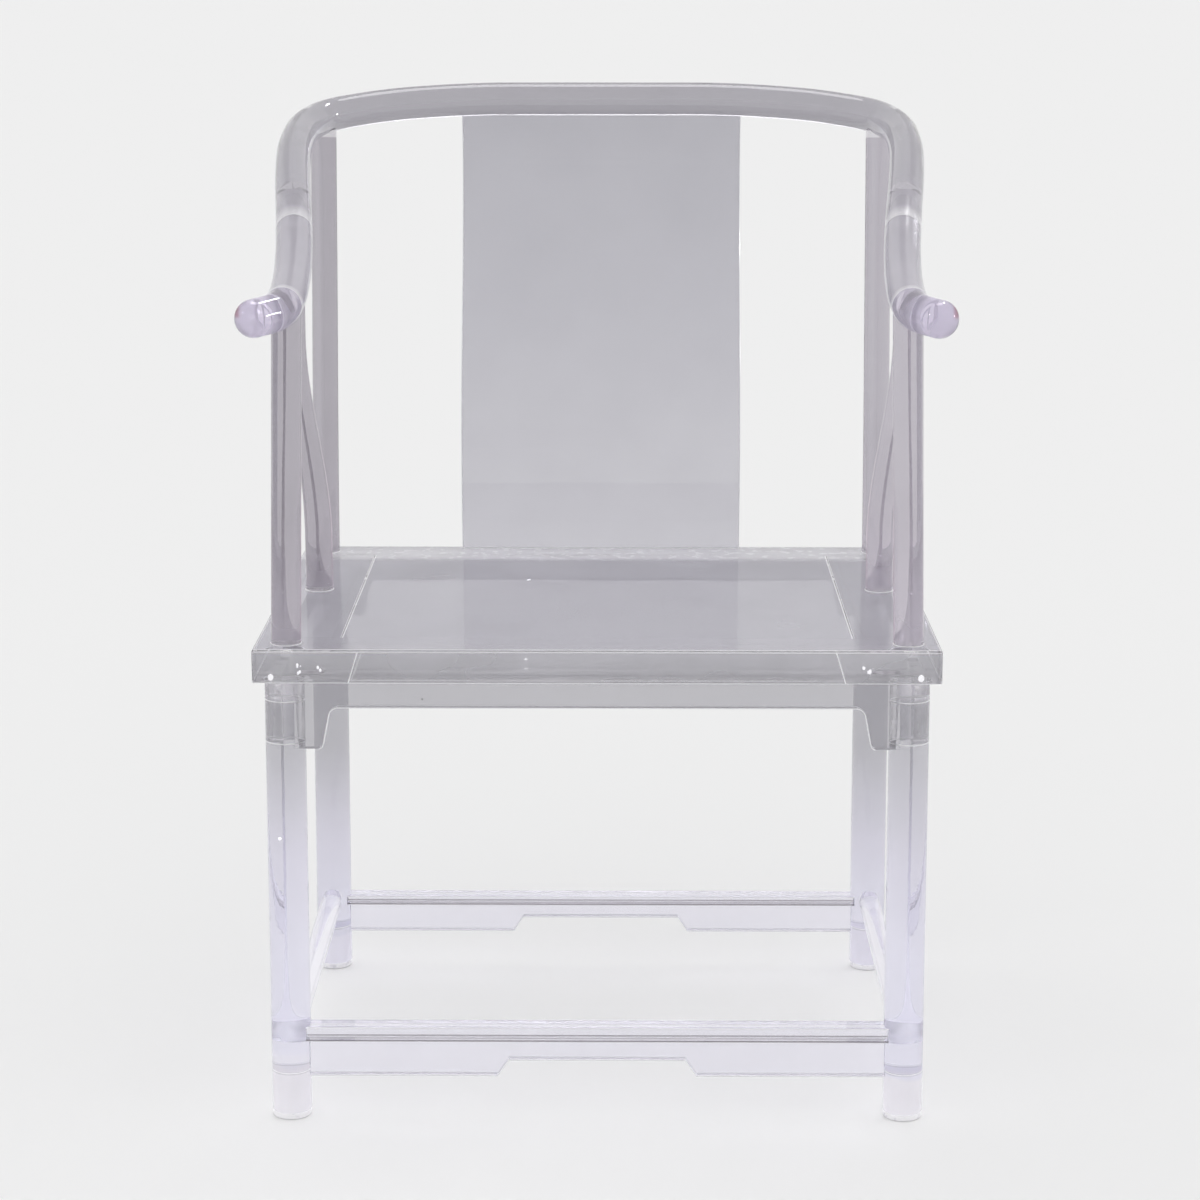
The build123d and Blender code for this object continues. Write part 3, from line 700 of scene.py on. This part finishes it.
def cloudy_cuts(f, x, y, z):
    """Painted light: white bands in the rail, on the crest's side of each cut across it."""
    bands = []
    for cut, reach in CUT_BANDS:
        run, square = from_cut((x, y, z), cut)
        near = square < (RAIL_RADIUS * CUT_BAND_OUT) ** 2
        bands.append(f.within(run, -reach, 0.0) * (run < 0.0) * near)
    return f.largest(*bands) * CUT_BAND_SHARE


print("painted_bands", [reach for cut, reach in CUT_BANDS], "m long at the rail's cuts")

# %% [markdown]
# ## The finished acrylics
# One recipe makes every finish, so the pieces look cut from the same stock. They differ in tone,
# which is painted shade by height: mostly darker on a rod high up and lighter near the pale floor,
# as the room that the acrylic shows is darker above. They also differ in haze, which is strongest
# on the feet, the arms and the seat, where a chair is handled and wiped.

# %% Rail, grips, posts and splat
CREST_TONE = tone(172, 170, 176)
ARM_TONE = tone(184, 181, 189)
GRIP_TONE = tone(202, 196, 212)
FLANK_TONE = tone(214, 211, 230)
POST_TONE = tone(178, 174, 181)
POST_FOOT_TONE = tone(190, 185, 193)
SPLAT_TOP_TONE = tone(182, 181, 187)
SPLAT_MIDDLE_TONE = tone(190, 189, 195)
SPLAT_FOOT_TONE = tone(204, 203, 208)

rail = acrylic("acrylic_rail", [(0.80, ARM_TONE), (0.92, CREST_TONE)],
               haze=[(0.0, 0.42), (0.86, 0.42), (0.915, 0.14)],
               bonds=post_tops + [splat_top, rail_joint(CREST_JOINT), rail_joint(GRIP_JOINT)],
               edges=cloudy_cuts, milky_by=1.25, blush=tinted_sides(0.96, 1.0, 0.5, FLANK_TONE))
grips = acrylic("acrylic_grips", [(0.0, GRIP_TONE)], haze=[(0.0, 0.22)],
                bonds=post_tops + [rail_joint(GRIP_JOINT)], clear_by=1.3, milky_by=1.3,
                blush=red_tip)


def post_finish(name, by, blush):
    return acrylic(name, [(0.47, POST_FOOT_TONE), (0.60, POST_TONE), (0.90, POST_TONE)],
                   haze=[(0.47, 0.34), (0.64, 0.13)],
                   bonds=post_tops + post_feet + [inside_seat],
                   clear_by=by, milky_by=by, blush=blush)


pink_painted_flanks = tinted_sides(0.50, 0.72, 0.42, PINK)
# Lit and shaded copies: the posts on the right are painted lighter than those on the left.
posts = post_finish("acrylic_posts", 1.15, pink_painted_flanks)
lit_right_posts = post_finish("acrylic_right_posts", 1.38, pink_painted_flanks)
back_posts = post_finish("acrylic_back_posts", 1.12, soft_band)
lit_right_back_posts = post_finish("acrylic_right_back_posts", 1.28, soft_band)
splat = acrylic("acrylic_splat",
                [(0.48, SPLAT_FOOT_TONE), (0.74, SPLAT_MIDDLE_TONE), (0.92, SPLAT_TOP_TONE)],
                haze=[(0.0, 0.20)], bonds=[splat_top, splat_foot, inside_seat],
                edges=sawn_edge, clear_by=1.22, milky_by=1.28)
print("finishes of the back:", rail.name, grips.name, posts.name, back_posts.name, splat.name)

# %% Seat, legs, aprons and stretchers
SEAT_TONE = tone(187, 186, 191)
SEAT_FRONT_TONE = tone(169, 168, 172)
APRON_TONE = tone(191, 190, 194)
LEG_TOP_TONE = tone(187, 186, 191)
LEG_HEAD_TONE = tone(210, 208, 213)
LEG_KNEE_TONE = tone(215, 213, 224)
LEG_LOW_TONE = tone(224, 223, 234)
FOOT_TONE = tone(232, 230, 243)
STRETCHER_TONE = tone(230, 229, 242)
LEG_FOOT = [(0.046, FOOT_TONE), (0.048, LEG_LOW_TONE)]
LEG_HEAD = [(0.38, LEG_TOP_TONE), (0.412, LEG_TOP_TONE), (0.418, LEG_HEAD_TONE)]

seat = acrylic("acrylic_seat", [(0.44, SEAT_FRONT_TONE), (0.467, SEAT_TONE)],
               haze=[(0.0, 0.30)], bonds=[inside_seat, apron_top, splat_foot] + post_feet,
               edges=seat_edge, clear_by=1.25, milky_by=1.35,
               dull=(0.85, SEAT_TOP - TOP_SKIN, scaled(SEAT_TONE, 1.6)))


def leg_finish(name, shin, clear_by, milky_by):
    return acrylic(name, LEG_FOOT + shin + LEG_HEAD,
                   haze=[(0.046, 0.75), (0.048, 0.16), (0.40, 0.16)],
                   bonds=[inside_seat, inside_leg, inside_rod],
                   clear_by=clear_by, milky_by=milky_by)


front_legs = leg_finish("acrylic_front_legs", [(0.16, LEG_LOW_TONE), (0.25, LEG_KNEE_TONE)],
                        1.22, 1.2)
back_legs = leg_finish("acrylic_back_legs", [(0.08, LEG_LOW_TONE), (0.14, LEG_KNEE_TONE),
                                             (0.25, LEG_TOP_TONE)], 1.15, 1.15)
aprons = acrylic("acrylic_aprons", [(0.4, APRON_TONE)], haze=[(0.0, 0.2)],
                 bonds=[inside_leg, apron_top], edges=broken_edge)
stretchers = acrylic("acrylic_stretchers", [(0.08, STRETCHER_TONE)], haze=[(0.0, 0.20)],
                     bonds=[inside_leg, inside_rod], edges=broken_edge, blush=bar_joint)
rods = acrylic("acrylic_rods", [(0.08, STRETCHER_TONE)], haze=[(0.0, 0.20)],
               bonds=[inside_leg, inside_rod], clear_by=1.25, milky_by=1.15)
print("finishes below:", seat.name, front_legs.name, back_legs.name, aprons.name, stretchers.name)

# %% [markdown]
# ## Beads of cement
# Where a rod stands on a face, the cement that is drawn into the joint leaves a fine rounded bead,
# and the bead catches the light as a thin white line. Rings could be placed one by one as tori, but
# the splat's bead is straight and the rail's follow slanted cuts. A bead is always one small round
# profile that follows a path, so a Geometry Nodes tree makes them all: it takes the paths as bare
# edges, turns them into curves, sweeps a circle along each and hands over plain faces.

# %% A recipe in Geometry Nodes
class Recipe(Tree):
    """A Geometry Nodes tree with named inputs."""

    def __init__(self, name, inputs):
        super().__init__(bpy.data.node_groups.new(name, "GeometryNodeTree"))
        self.tree.is_modifier = True
        interface = self.tree.interface
        interface.new_socket("Shape", in_out="INPUT", socket_type="NodeSocketGeometry")
        self.keys = {}
        for label, (kind, value) in inputs.items():
            made = interface.new_socket(label, in_out="INPUT", socket_type="NodeSocket" + kind)
            if value is not None:
                made.default_value = value
            self.keys[label] = made.identifier
        interface.new_socket("Shape", in_out="OUTPUT", socket_type="NodeSocketGeometry")
        self.start = self.node("NodeGroupInput")
        self.end = self.node("NodeGroupOutput")

    def __getitem__(self, label):
        """One of the named inputs, as an operand."""
        return Value(self, self.start.outputs[label])

    def bend(self):
        """The angle between the two faces at an edge."""
        return Value(self, self.node("GeometryNodeInputMeshEdgeAngle").outputs[0])

    def bead(self, paths, radius, sides):
        """A round bead along curves."""
        profile = self.node("GeometryNodeCurvePrimitiveCircle",
                            sockets={"Resolution": sides, "Radius": radius})
        swept = self.node("GeometryNodeCurveToMesh", sockets={
            "Curve": paths, "Profile Curve": profile, "Fill Caps": True})
        return self.node("GeometryNodeSetShadeSmooth", sockets={0: swept})

    def close(self, shape):
        """Ends the tree in plain faces with their finish."""
        real = self.node("GeometryNodeRealizeInstances", sockets={0: shape})
        dressed = self.node("GeometryNodeSetMaterial",
                            sockets={"Geometry": real, "Material": self["Finish"]})
        self.tree.links.new(dressed.outputs[0], self.end.inputs[0])

    def make(self, name, mesh, values, slot="clear_acrylic", stands_for=None):
        """Runs the tree on a mesh and gives a plain piece at the origin."""
        carrier = bpy.data.objects.new(name + "_carrier", mesh)
        scene.collection.objects.link(carrier)
        step = carrier.modifiers.new("recipe", "NODES")
        step.node_group = self.tree
        for label, value in values.items():
            step[self.keys[label]] = value
        evaluated = carrier.evaluated_get(bpy.context.evaluated_depsgraph_get())
        result = bpy.data.meshes.new_from_object(evaluated)
        bpy.data.objects.remove(carrier)
        piece = bpy.data.objects.new(name, result)
        scene.collection.objects.link(piece)
        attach(piece, "root")
        if stands_for:
            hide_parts(stands_for)
        print(name, len(result.polygons), "faces")
        return piece


# %% The bead recipe
beading = Recipe("bead_along_path", {"Bead radius": ("Float", 0.0005), "Sides": ("Int", 8),
                                     "Finish": ("Material", None)})
paths = beading.node("GeometryNodeMeshToCurve", sockets={0: beading["Shape"]})
beading.close(beading.bead(paths, beading["Bead radius"], beading["Sides"]))
print("inputs of the bead recipe:", list(beading.keys))

# %% [markdown]
# The paths are worked out from the joints' centres. A ring needs its centre, the direction of the
# rod that it goes round and a radius. Everything is made for the right side and mirrored, which is
# safe for bare edges, because they have no inside that could be turned out.

# %% Rings and lines as bare edges
RING_STEPS = 40


def ring(centre, along, radius):
    """A closed path round a rod."""
    along = Vector(along).normalized()
    first = along.orthogonal().normalized()
    second = along.cross(first)
    turns = [2 * pi * i / RING_STEPS for i in range(RING_STEPS)]
    return [Vector(centre) + (first * cos(t) + second * sin(t)) * radius for t in turns]


def leg_ring(z, back, radius):
    y = SEAT_MIDDLE_Y + (LEG_OFF_Y if back else -LEG_OFF_Y)
    return ring((LEG_FOOT_X - (z - leg_low.z) * LEG_SLOPE, y, z), (-LEG_SLOPE, 0, 1), radius)


def path_mesh(name, loops, lines=()):
    """Closed and open paths as bare edges, each also mirrored to the left side."""
    points, edges = [], []
    for path, closed in [(p, True) for p in loops] + [(p, False) for p in lines]:
        for side in (1, -1):
            first = len(points)
            points += [(side * p[0], p[1], p[2]) for p in path]
            edges += [(first + i, first + i + 1) for i in range(len(path) - 1)]
            if closed:
                edges.append((len(points) - 1, first))
    mesh = bpy.data.meshes.new(name)
    mesh.from_pydata(points, edges, [])
    return mesh


# %% Paths of the beads
BEAD_LIFT = 0.0002                     # how far a bead's middle lies off the seat
LEG_BUTTS = (0.4154, 0.3748, 0.0474)   # heights of the fine rings round each leg
CREST_Y = 0.28775                      # the crest's centre line over the splat
CREST_Z = 0.944
SPLAT_BEAD_BENDS = 0.1345              # where the upper bead turns down to the splat's corner
SPLAT_BEAD_ENDS = 0.1470
SPLAT_BEAD_DROPS = 0.0008, 0.0003      # how far forwards and down it has come there
FOOT_BEAD_SHORT = 0.001                # how far inside the splat's edge the lower bead ends
LEG_BEAD_SUNK = 0.0001                 # how far inside the surface a bead's middle lies
RAIL_BEAD_SUNK = 0.0003

foot_rings = [ring((cx, cy, SEAT_TOP + BEAD_LIFT), (0, 0, 1), radius + BEAD_LIFT)
              for cx, cy, radius in POST_FEET.values()]
leg_rings = [leg_ring(z, back, LEG_RADIUS - LEG_BEAD_SUNK)
             for z in LEG_BUTTS for back in (False, True)]
leg_heads = [leg_ring(SEAT_UNDER - BEAD_LIFT, back, LEG_RADIUS) for back in (False, True)]
rail_rings = [ring(*cut, RAIL_RADIUS - RAIL_BEAD_SUNK) for cut in (CREST_JOINT, GRIP_JOINT)]
forwards, down = SPLAT_BEAD_DROPS
splat_lines = []
for y in (SPLAT_TOP_Y - SPLAT_HALF_THICK, SPLAT_TOP_Y + SPLAT_HALF_THICK):
    z = CREST_Z - (RAIL_RADIUS ** 2 - (y - CREST_Y) ** 2) ** 0.5
    splat_lines.append([(0.0, y, z), (SPLAT_BEAD_BENDS, y, z),
                        (SPLAT_BEAD_ENDS, y - forwards, z - down)])
for y in (SPLAT_FOOT_Y - SPLAT_HALF_THICK, SPLAT_FOOT_Y + SPLAT_HALF_THICK):
    z = SEAT_TOP + BEAD_LIFT
    splat_lines.append([(0.0, y, z), (SPLAT_HALF - FOOT_BEAD_SHORT, y, z)])
print(len(foot_rings + leg_rings + leg_heads + rail_rings), "rings and", len(splat_lines), "lines")

# %% [markdown]
# Cured cement is as clear as the acrylic, but a bead this thin is all highlight. A clear bead would
# vanish between two clear faces, so its finish is a glossy white with faint clouds. The rings on
# the rail are finer than those on the seat.

# %% Bead finish and beads
bead_finish = Finish("cement_bead")
cloud = bead_finish.noise(0.003, 3.0)
bead_white = bead_finish.finish(plastic(
    bead_finish, bead_finish.blend(cloud, tone(226, 225, 231), tone(255, 255, 255)),
    cloud.between(0.08, 0.28)))
for name, radius, loops, lines in (("seat_beads", 0.0006, foot_rings + leg_heads, splat_lines),
                                   ("leg_beads", 0.00045, leg_rings, ()),
                                   ("rail_beads", 0.0005, rail_rings, ())):
    beading.make(name, path_mesh(name, loops, lines),
                 {"Bead radius": radius, "Sides": 8, "Finish": bead_white})

# %% [markdown]
# ## Polished arrises
# The aprons and the stretchers' strips are sawn from sheet and their outlines polished by hand, so
# every arris is a little rounded and carries a bright line. Drawing those outlines a second time
# would be a copy to keep in step with the part. Instead, a second tree finds the arrises of a part
# by the angle between its faces, keeps those inside a given height and width, and lays a fine bead
# along them. A part's faces are loose triangles, so its copy is merged first.

# %% The arris recipe
MERGE = 0.00002

arrises = Recipe("bead_along_arris", {
    "Bead radius": ("Float", 0.0005), "Angle": ("Float", 0.6), "Lowest": ("Float", 0.0),
    "Highest": ("Float", 1.0), "Widest": ("Float", 1.0), "Finish": ("Material", None)})
merged = arrises.node("GeometryNodeMergeByDistance",
                      sockets={"Geometry": arrises["Shape"], "Distance": MERGE})
across, depth, height = arrises.parts_of(arrises.node("GeometryNodeInputPosition"))
chosen = ((arrises.bend() > arrises["Angle"]) * (height > arrises["Lowest"])
          * (height < arrises["Highest"]) * (abs(across) < arrises["Widest"]))
outline = arrises.node("GeometryNodeMeshToCurve", sockets={0: merged, 1: chosen})
arrises.close(arrises.bead(outline, arrises["Bead radius"], 6))
print("inputs of the arris recipe:", list(arrises.keys))

# %% Lines along the aprons and the stretchers' strips
LEG_GAP = LEG_TOP_X - LEG_RADIUS       # half the width between the legs at the seat
APRON_HIGHEST = SEAT_UNDER - 0.003     # leaves out the arrises against the seat
STRIP_HIGHEST = 0.06                   # leaves out those against the bars
for pattern, radius, highest, widest in (
        ("apron_{}", 0.00045, APRON_HIGHEST, LEG_GAP + 0.001),
        ("{}_stretcher_strip", 0.0004, STRIP_HIGHEST, LEG_GAP)):
    for side in ("front", "back"):
        name = pattern.format(side)
        arrises.make(name + "_arrises", nodes[name].data.copy(),
                     {"Bead radius": radius, "Angle": 0.6, "Lowest": 0.0, "Highest": highest,
                      "Widest": widest, "Finish": bead_white})

# %% [markdown]
# ## Bubbles and painted glints
# Cast stock has a few trapped bubbles, and small glowing balls in clusters near the front corners
# of the seat stand in for glints there: painted highlights.
# They could be painted on as white dots, but a bubble is a solid thing inside the stock and moves
# against its surface as one walks past. The third tree takes bare points, copies each one a few
# times within a small cloud and puts a small ball of a random size on every copy. The seed is
# fixed, so the bubbles never move.

# %% The bubble recipe
bubble_and_glint_recipe = Recipe("bubble_clusters", {
    "Copies": ("Int", 1), "Spread": ("Float", 0.0), "Smallest": ("Float", 0.0004),
    "Largest": ("Float", 0.0008), "Flatness": ("Float", 1.0), "Seed": ("Int", 7),
    "Finish": ("Material", None)})
points = bubble_and_glint_recipe.node("GeometryNodeMeshToPoints", sockets={0: bubble_and_glint_recipe["Shape"]})
copies = bubble_and_glint_recipe.node("GeometryNodeDuplicateElements", {"domain": "POINT"},
                      {"Geometry": points, "Amount": bubble_and_glint_recipe["Copies"]})
shift = bubble_and_glint_recipe.node("FunctionNodeRandomValue", {"data_type": "FLOAT_VECTOR"}, {
    0: bubble_and_glint_recipe["Spread"] * -1.0, 1: bubble_and_glint_recipe["Spread"], "Seed": bubble_and_glint_recipe["Seed"]})
strewn = bubble_and_glint_recipe.node("GeometryNodeSetPosition", sockets={"Geometry": copies, "Offset": shift})
size = bubble_and_glint_recipe.node("FunctionNodeRandomValue", {"data_type": "FLOAT"}, {
    2: bubble_and_glint_recipe["Smallest"], 3: bubble_and_glint_recipe["Largest"], "Seed": bubble_and_glint_recipe["Seed"]})
ball = bubble_and_glint_recipe.node("GeometryNodeMeshIcoSphere", sockets={"Radius": 1.0, "Subdivisions": 3})
squash = bubble_and_glint_recipe.node("CombineXYZ", sockets={0: 1.0, 1: 1.0, 2: bubble_and_glint_recipe["Flatness"]})
each = bubble_and_glint_recipe.node("VectorMath", {"operation": "SCALE"}, {0: squash, "Scale": size.outputs[1]})
placed = bubble_and_glint_recipe.node("GeometryNodeInstanceOnPoints",
                      sockets={"Points": strewn, "Instance": ball, "Scale": each})
solid = bubble_and_glint_recipe.node("GeometryNodeRealizeInstances", sockets={0: placed})
bubble_and_glint_recipe.close(bubble_and_glint_recipe.node("GeometryNodeSetShadeSmooth", sockets={0: solid}))
print("inputs of the bubble recipe:", list(bubble_and_glint_recipe.keys))


def strew(name, spots, finish, radii, flatness, seed, copies=1, spread=0.0):
    """Balls at some spots, for bubbles, painted glints and a speck, each a small cloud of copies.
    """
    mesh = bpy.data.meshes.new(name)
    mesh.from_pydata(spots, [], [])
    bubble_and_glint_recipe.make(name, mesh, {
        "Copies": copies, "Spread": spread, "Smallest": radii[0], "Largest": radii[1],
        "Flatness": flatness, "Seed": seed, "Finish": finish})


# %% [markdown]
# A bubble's wall mirrors the whole room, so it is brighter than the acrylic round it. Its finish
# glows a little, as a painted highlight, because a ball of a millimetre is too small to mirror a
# lamp. The clusters at the front of the seat are such glowing balls, placed where glints show:
# painted glints. One dark speck is caught in the front apron.

# %% Bubbles, painted glints and a dark speck
glint = Finish("bubble_glint")
glint_white = glint.finish(glint.node("BsdfPrincipled", sockets={
    "Base Color": glint.blend(glint.noise(0.002, 2.0), tone(236, 235, 240), tone(255, 255, 255)),
    "Emission Color": opaque((1, 1, 1)), "Emission Strength": 1.1, "Roughness": 0.1}))
dirt = Finish("dark_speck")
speck_dark = dirt.finish(dirt.node("BsdfPrincipled", sockets={
    "Base Color": dirt.blend(dirt.noise(0.0008, 2.0), tone(48, 44, 42), tone(78, 70, 66)),
    "Roughness": 0.6}))

JOINT_GLINT_SPOTS = ((0.2475, 0.4515), (0.2520, 0.4480), (-0.2760, 0.4520), (-0.2765, 0.4470),
               (-0.2580, 0.4490))
strew("joint_bubbles", [(x, SEAT_FRONT + 0.0032, z) for x, z in JOINT_GLINT_SPOTS], glint_white,
      radii=(0.0004, 0.0014), flatness=1.5, seed=11, copies=3, spread=0.0018)
strew("corner_bubbles", [(x, SEAT_FRONT + 0.0042, 0.4412) for x in (0.3005, -0.3027)], glint_white,
      radii=(0.0020, 0.0030), flatness=1.2, seed=3)
strew("leg_bubble", [(-0.2985, -0.238, 0.2805)], glint_white,
      radii=(0.0013, 0.0013), flatness=1.1, seed=1)
strew("seat_bubble", [(-0.0729, 0.0535, 0.464)], glint_white,
      radii=(0.0010, 0.0020), flatness=0.5, seed=4, copies=2, spread=0.0012)
strew("apron_speck", [(-0.163, -0.2443, 0.4178)], speck_dark,
      radii=(0.0008, 0.0008), flatness=1.0, seed=1)

# %% [markdown]
# ## Turned parts
# The glides and the side stretchers are turned on a lathe. A cylinder with bevelled ends would do
# for one of them, but turning is one rule for both: a half outline carried round an axis. The last
# tree does that. It takes the half outline as bare edges, turns it into a curve, sweeps it round a
# circle that is almost a point, welds the poles, and keeps corners sharp while it smooths the rest.
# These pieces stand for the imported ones, at the same place and size, with a rounder outline.

# %% The turning recipe
AXIS_RADIUS = 0.000005

turning = Recipe("turned_part", {
    "Sides": ("Int", 64), "Corner angle": ("Float", 0.6), "Place": ("Vector", None),
    "Turn": ("Vector", None), "Finish": ("Material", None)})
half_outline = turning.node("GeometryNodeMeshToCurve", sockets={0: turning["Shape"]})
axis = turning.node("GeometryNodeCurvePrimitiveCircle",
                    sockets={"Resolution": turning["Sides"], "Radius": AXIS_RADIUS})
carried = turning.node("GeometryNodeCurveToMesh",
                       sockets={"Curve": axis, "Profile Curve": half_outline})
welded = turning.node("GeometryNodeMergeByDistance",
                      sockets={"Geometry": carried, "Distance": MERGE})
smoothed = turning.node("GeometryNodeSetShadeSmooth", {"domain": "FACE"}, {0: welded})
creased = turning.node("GeometryNodeSetShadeSmooth", {"domain": "EDGE"}, {
    "Geometry": smoothed, "Selection": turning.bend() > turning["Corner angle"],
    "Shade Smooth": False})
stood = turning.node("GeometryNodeTransform", sockets={
    "Geometry": creased, "Translation": turning["Place"], "Rotation": turning["Turn"]})
turning.close(stood)
print("inputs of the turning recipe:", list(turning.keys))


def turn(node, outline, place, rotation, finish, slot):
    """Turns a half outline of (radius, height) points, from the top down, in place of a node."""
    mesh = bpy.data.meshes.new(node)
    mesh.from_pydata([(radius, -height, 0) for radius, height in outline],
                     [(i, i + 1) for i in range(len(outline) - 1)], [])
    turning.make(node + "_turned", mesh, {
        "Sides": 64, "Corner angle": 0.6, "Place": place, "Turn": rotation, "Finish": finish},
        slot=slot, stands_for=node)


# %% [markdown]
# The legs stand on short white nylon discs. Nylon is a satin white with a little grey where it has
# rubbed on floors. An even white would look like a cut-out, so its colour and roughness drift.

# %% Glides
GLIDE_ROUND = 0.0012
GLIDE_STEPS = 5
RUBBED = 0.55, 0.75          # the noise between which the nylon turns greyer
NYLON_ROUGH = 0.35, 0.65

glide_finish = Finish("white_nylon")
rub = glide_finish.noise(0.006, 5.0)
worn = glide_finish.blend(glide_finish.within(rub, *RUBBED),
                          tone(253, 252, 255), tone(222, 220, 228))
nylon = glide_finish.finish(glide_finish.node("BsdfPrincipled", sockets={
    "Base Color": worn, "Roughness": rub.between(*NYLON_ROUGH),
    "Normal": glide_finish.node("Bump", sockets={
        "Strength": 0.3, "Distance": 0.0003, "Height": rub})}))
for name in [n for n in nodes if n.startswith("foot_pad")]:
    low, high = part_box(name)
    radius, thick = (high.x - low.x) / 2, high.z - low.z
    turns = [pi / 2 * i / GLIDE_STEPS for i in range(GLIDE_STEPS + 1)]
    rim = [(radius - GLIDE_ROUND * (1 - sin(t)), thick - GLIDE_ROUND * (1 - cos(t))) for t in turns]
    foot = [(r, thick - z) for r, z in reversed(rim)]
    turn(name, [(0, thick)] + rim + foot + [(0, 0)],
         ((low.x + high.x) / 2, (low.y + high.y) / 2, low.z), (0.0, 0.0, 0.0), nylon, "white_glide")

# %% Side stretchers
LET_IN = 0.0045              # how far the full rod runs into a leg
SPIGOT_RADIUS = 0.006

half_rod = (rod_high.y - rod_low.y) / 2
shoulder = LEG_OFF_Y - LEG_RADIUS + LET_IN
half_up = [(0, half_rod), (SPIGOT_RADIUS, half_rod), (SPIGOT_RADIUS, shoulder),
           (ROD_RADIUS, shoulder)]
rod_outline = half_up + [(radius, -height) for radius, height in reversed(half_up)]
for name in ("side_stretcher_left", "side_stretcher_right"):
    low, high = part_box(name)
    turn(name, rod_outline, tuple((a + b) / 2 for a, b in zip(low, high)), (pi / 2, 0.0, 0.0),
         rods, "clear_acrylic")

# %% [markdown]
# ## Dressing the parts
# A list of 35 names and finishes would be long and easy to get wrong. Each part takes its finish by
# the start of its name instead. The posts on the right, towards the brighter side of the room, are
# painted a little lighter than those on the left, as lit copies of the same finish, so their longer
# names come first.

# %% Give each part its finish
BY_NAME = [("front_post_right", lit_right_posts), ("side_post_right", lit_right_posts),
           ("back_post_right", lit_right_back_posts), ("front_post", posts), ("side_post", posts),
           ("back_post", back_posts), ("crest", rail), ("arm", rail), ("grip", grips),
           ("back_splat", splat), ("seat", seat), ("apron", aprons), ("front_leg", front_legs),
           ("back_leg", back_legs), ("front_stretcher", stretchers),
           ("back_stretcher", stretchers), ("side_stretcher", rods), ("foot_pad", nylon)]
for name, part in nodes.items():
    part.data.materials.clear()
    part.data.materials.append(next(finish for start, finish in BY_NAME if name.startswith(start)))
print(len(nodes), "parts finished")
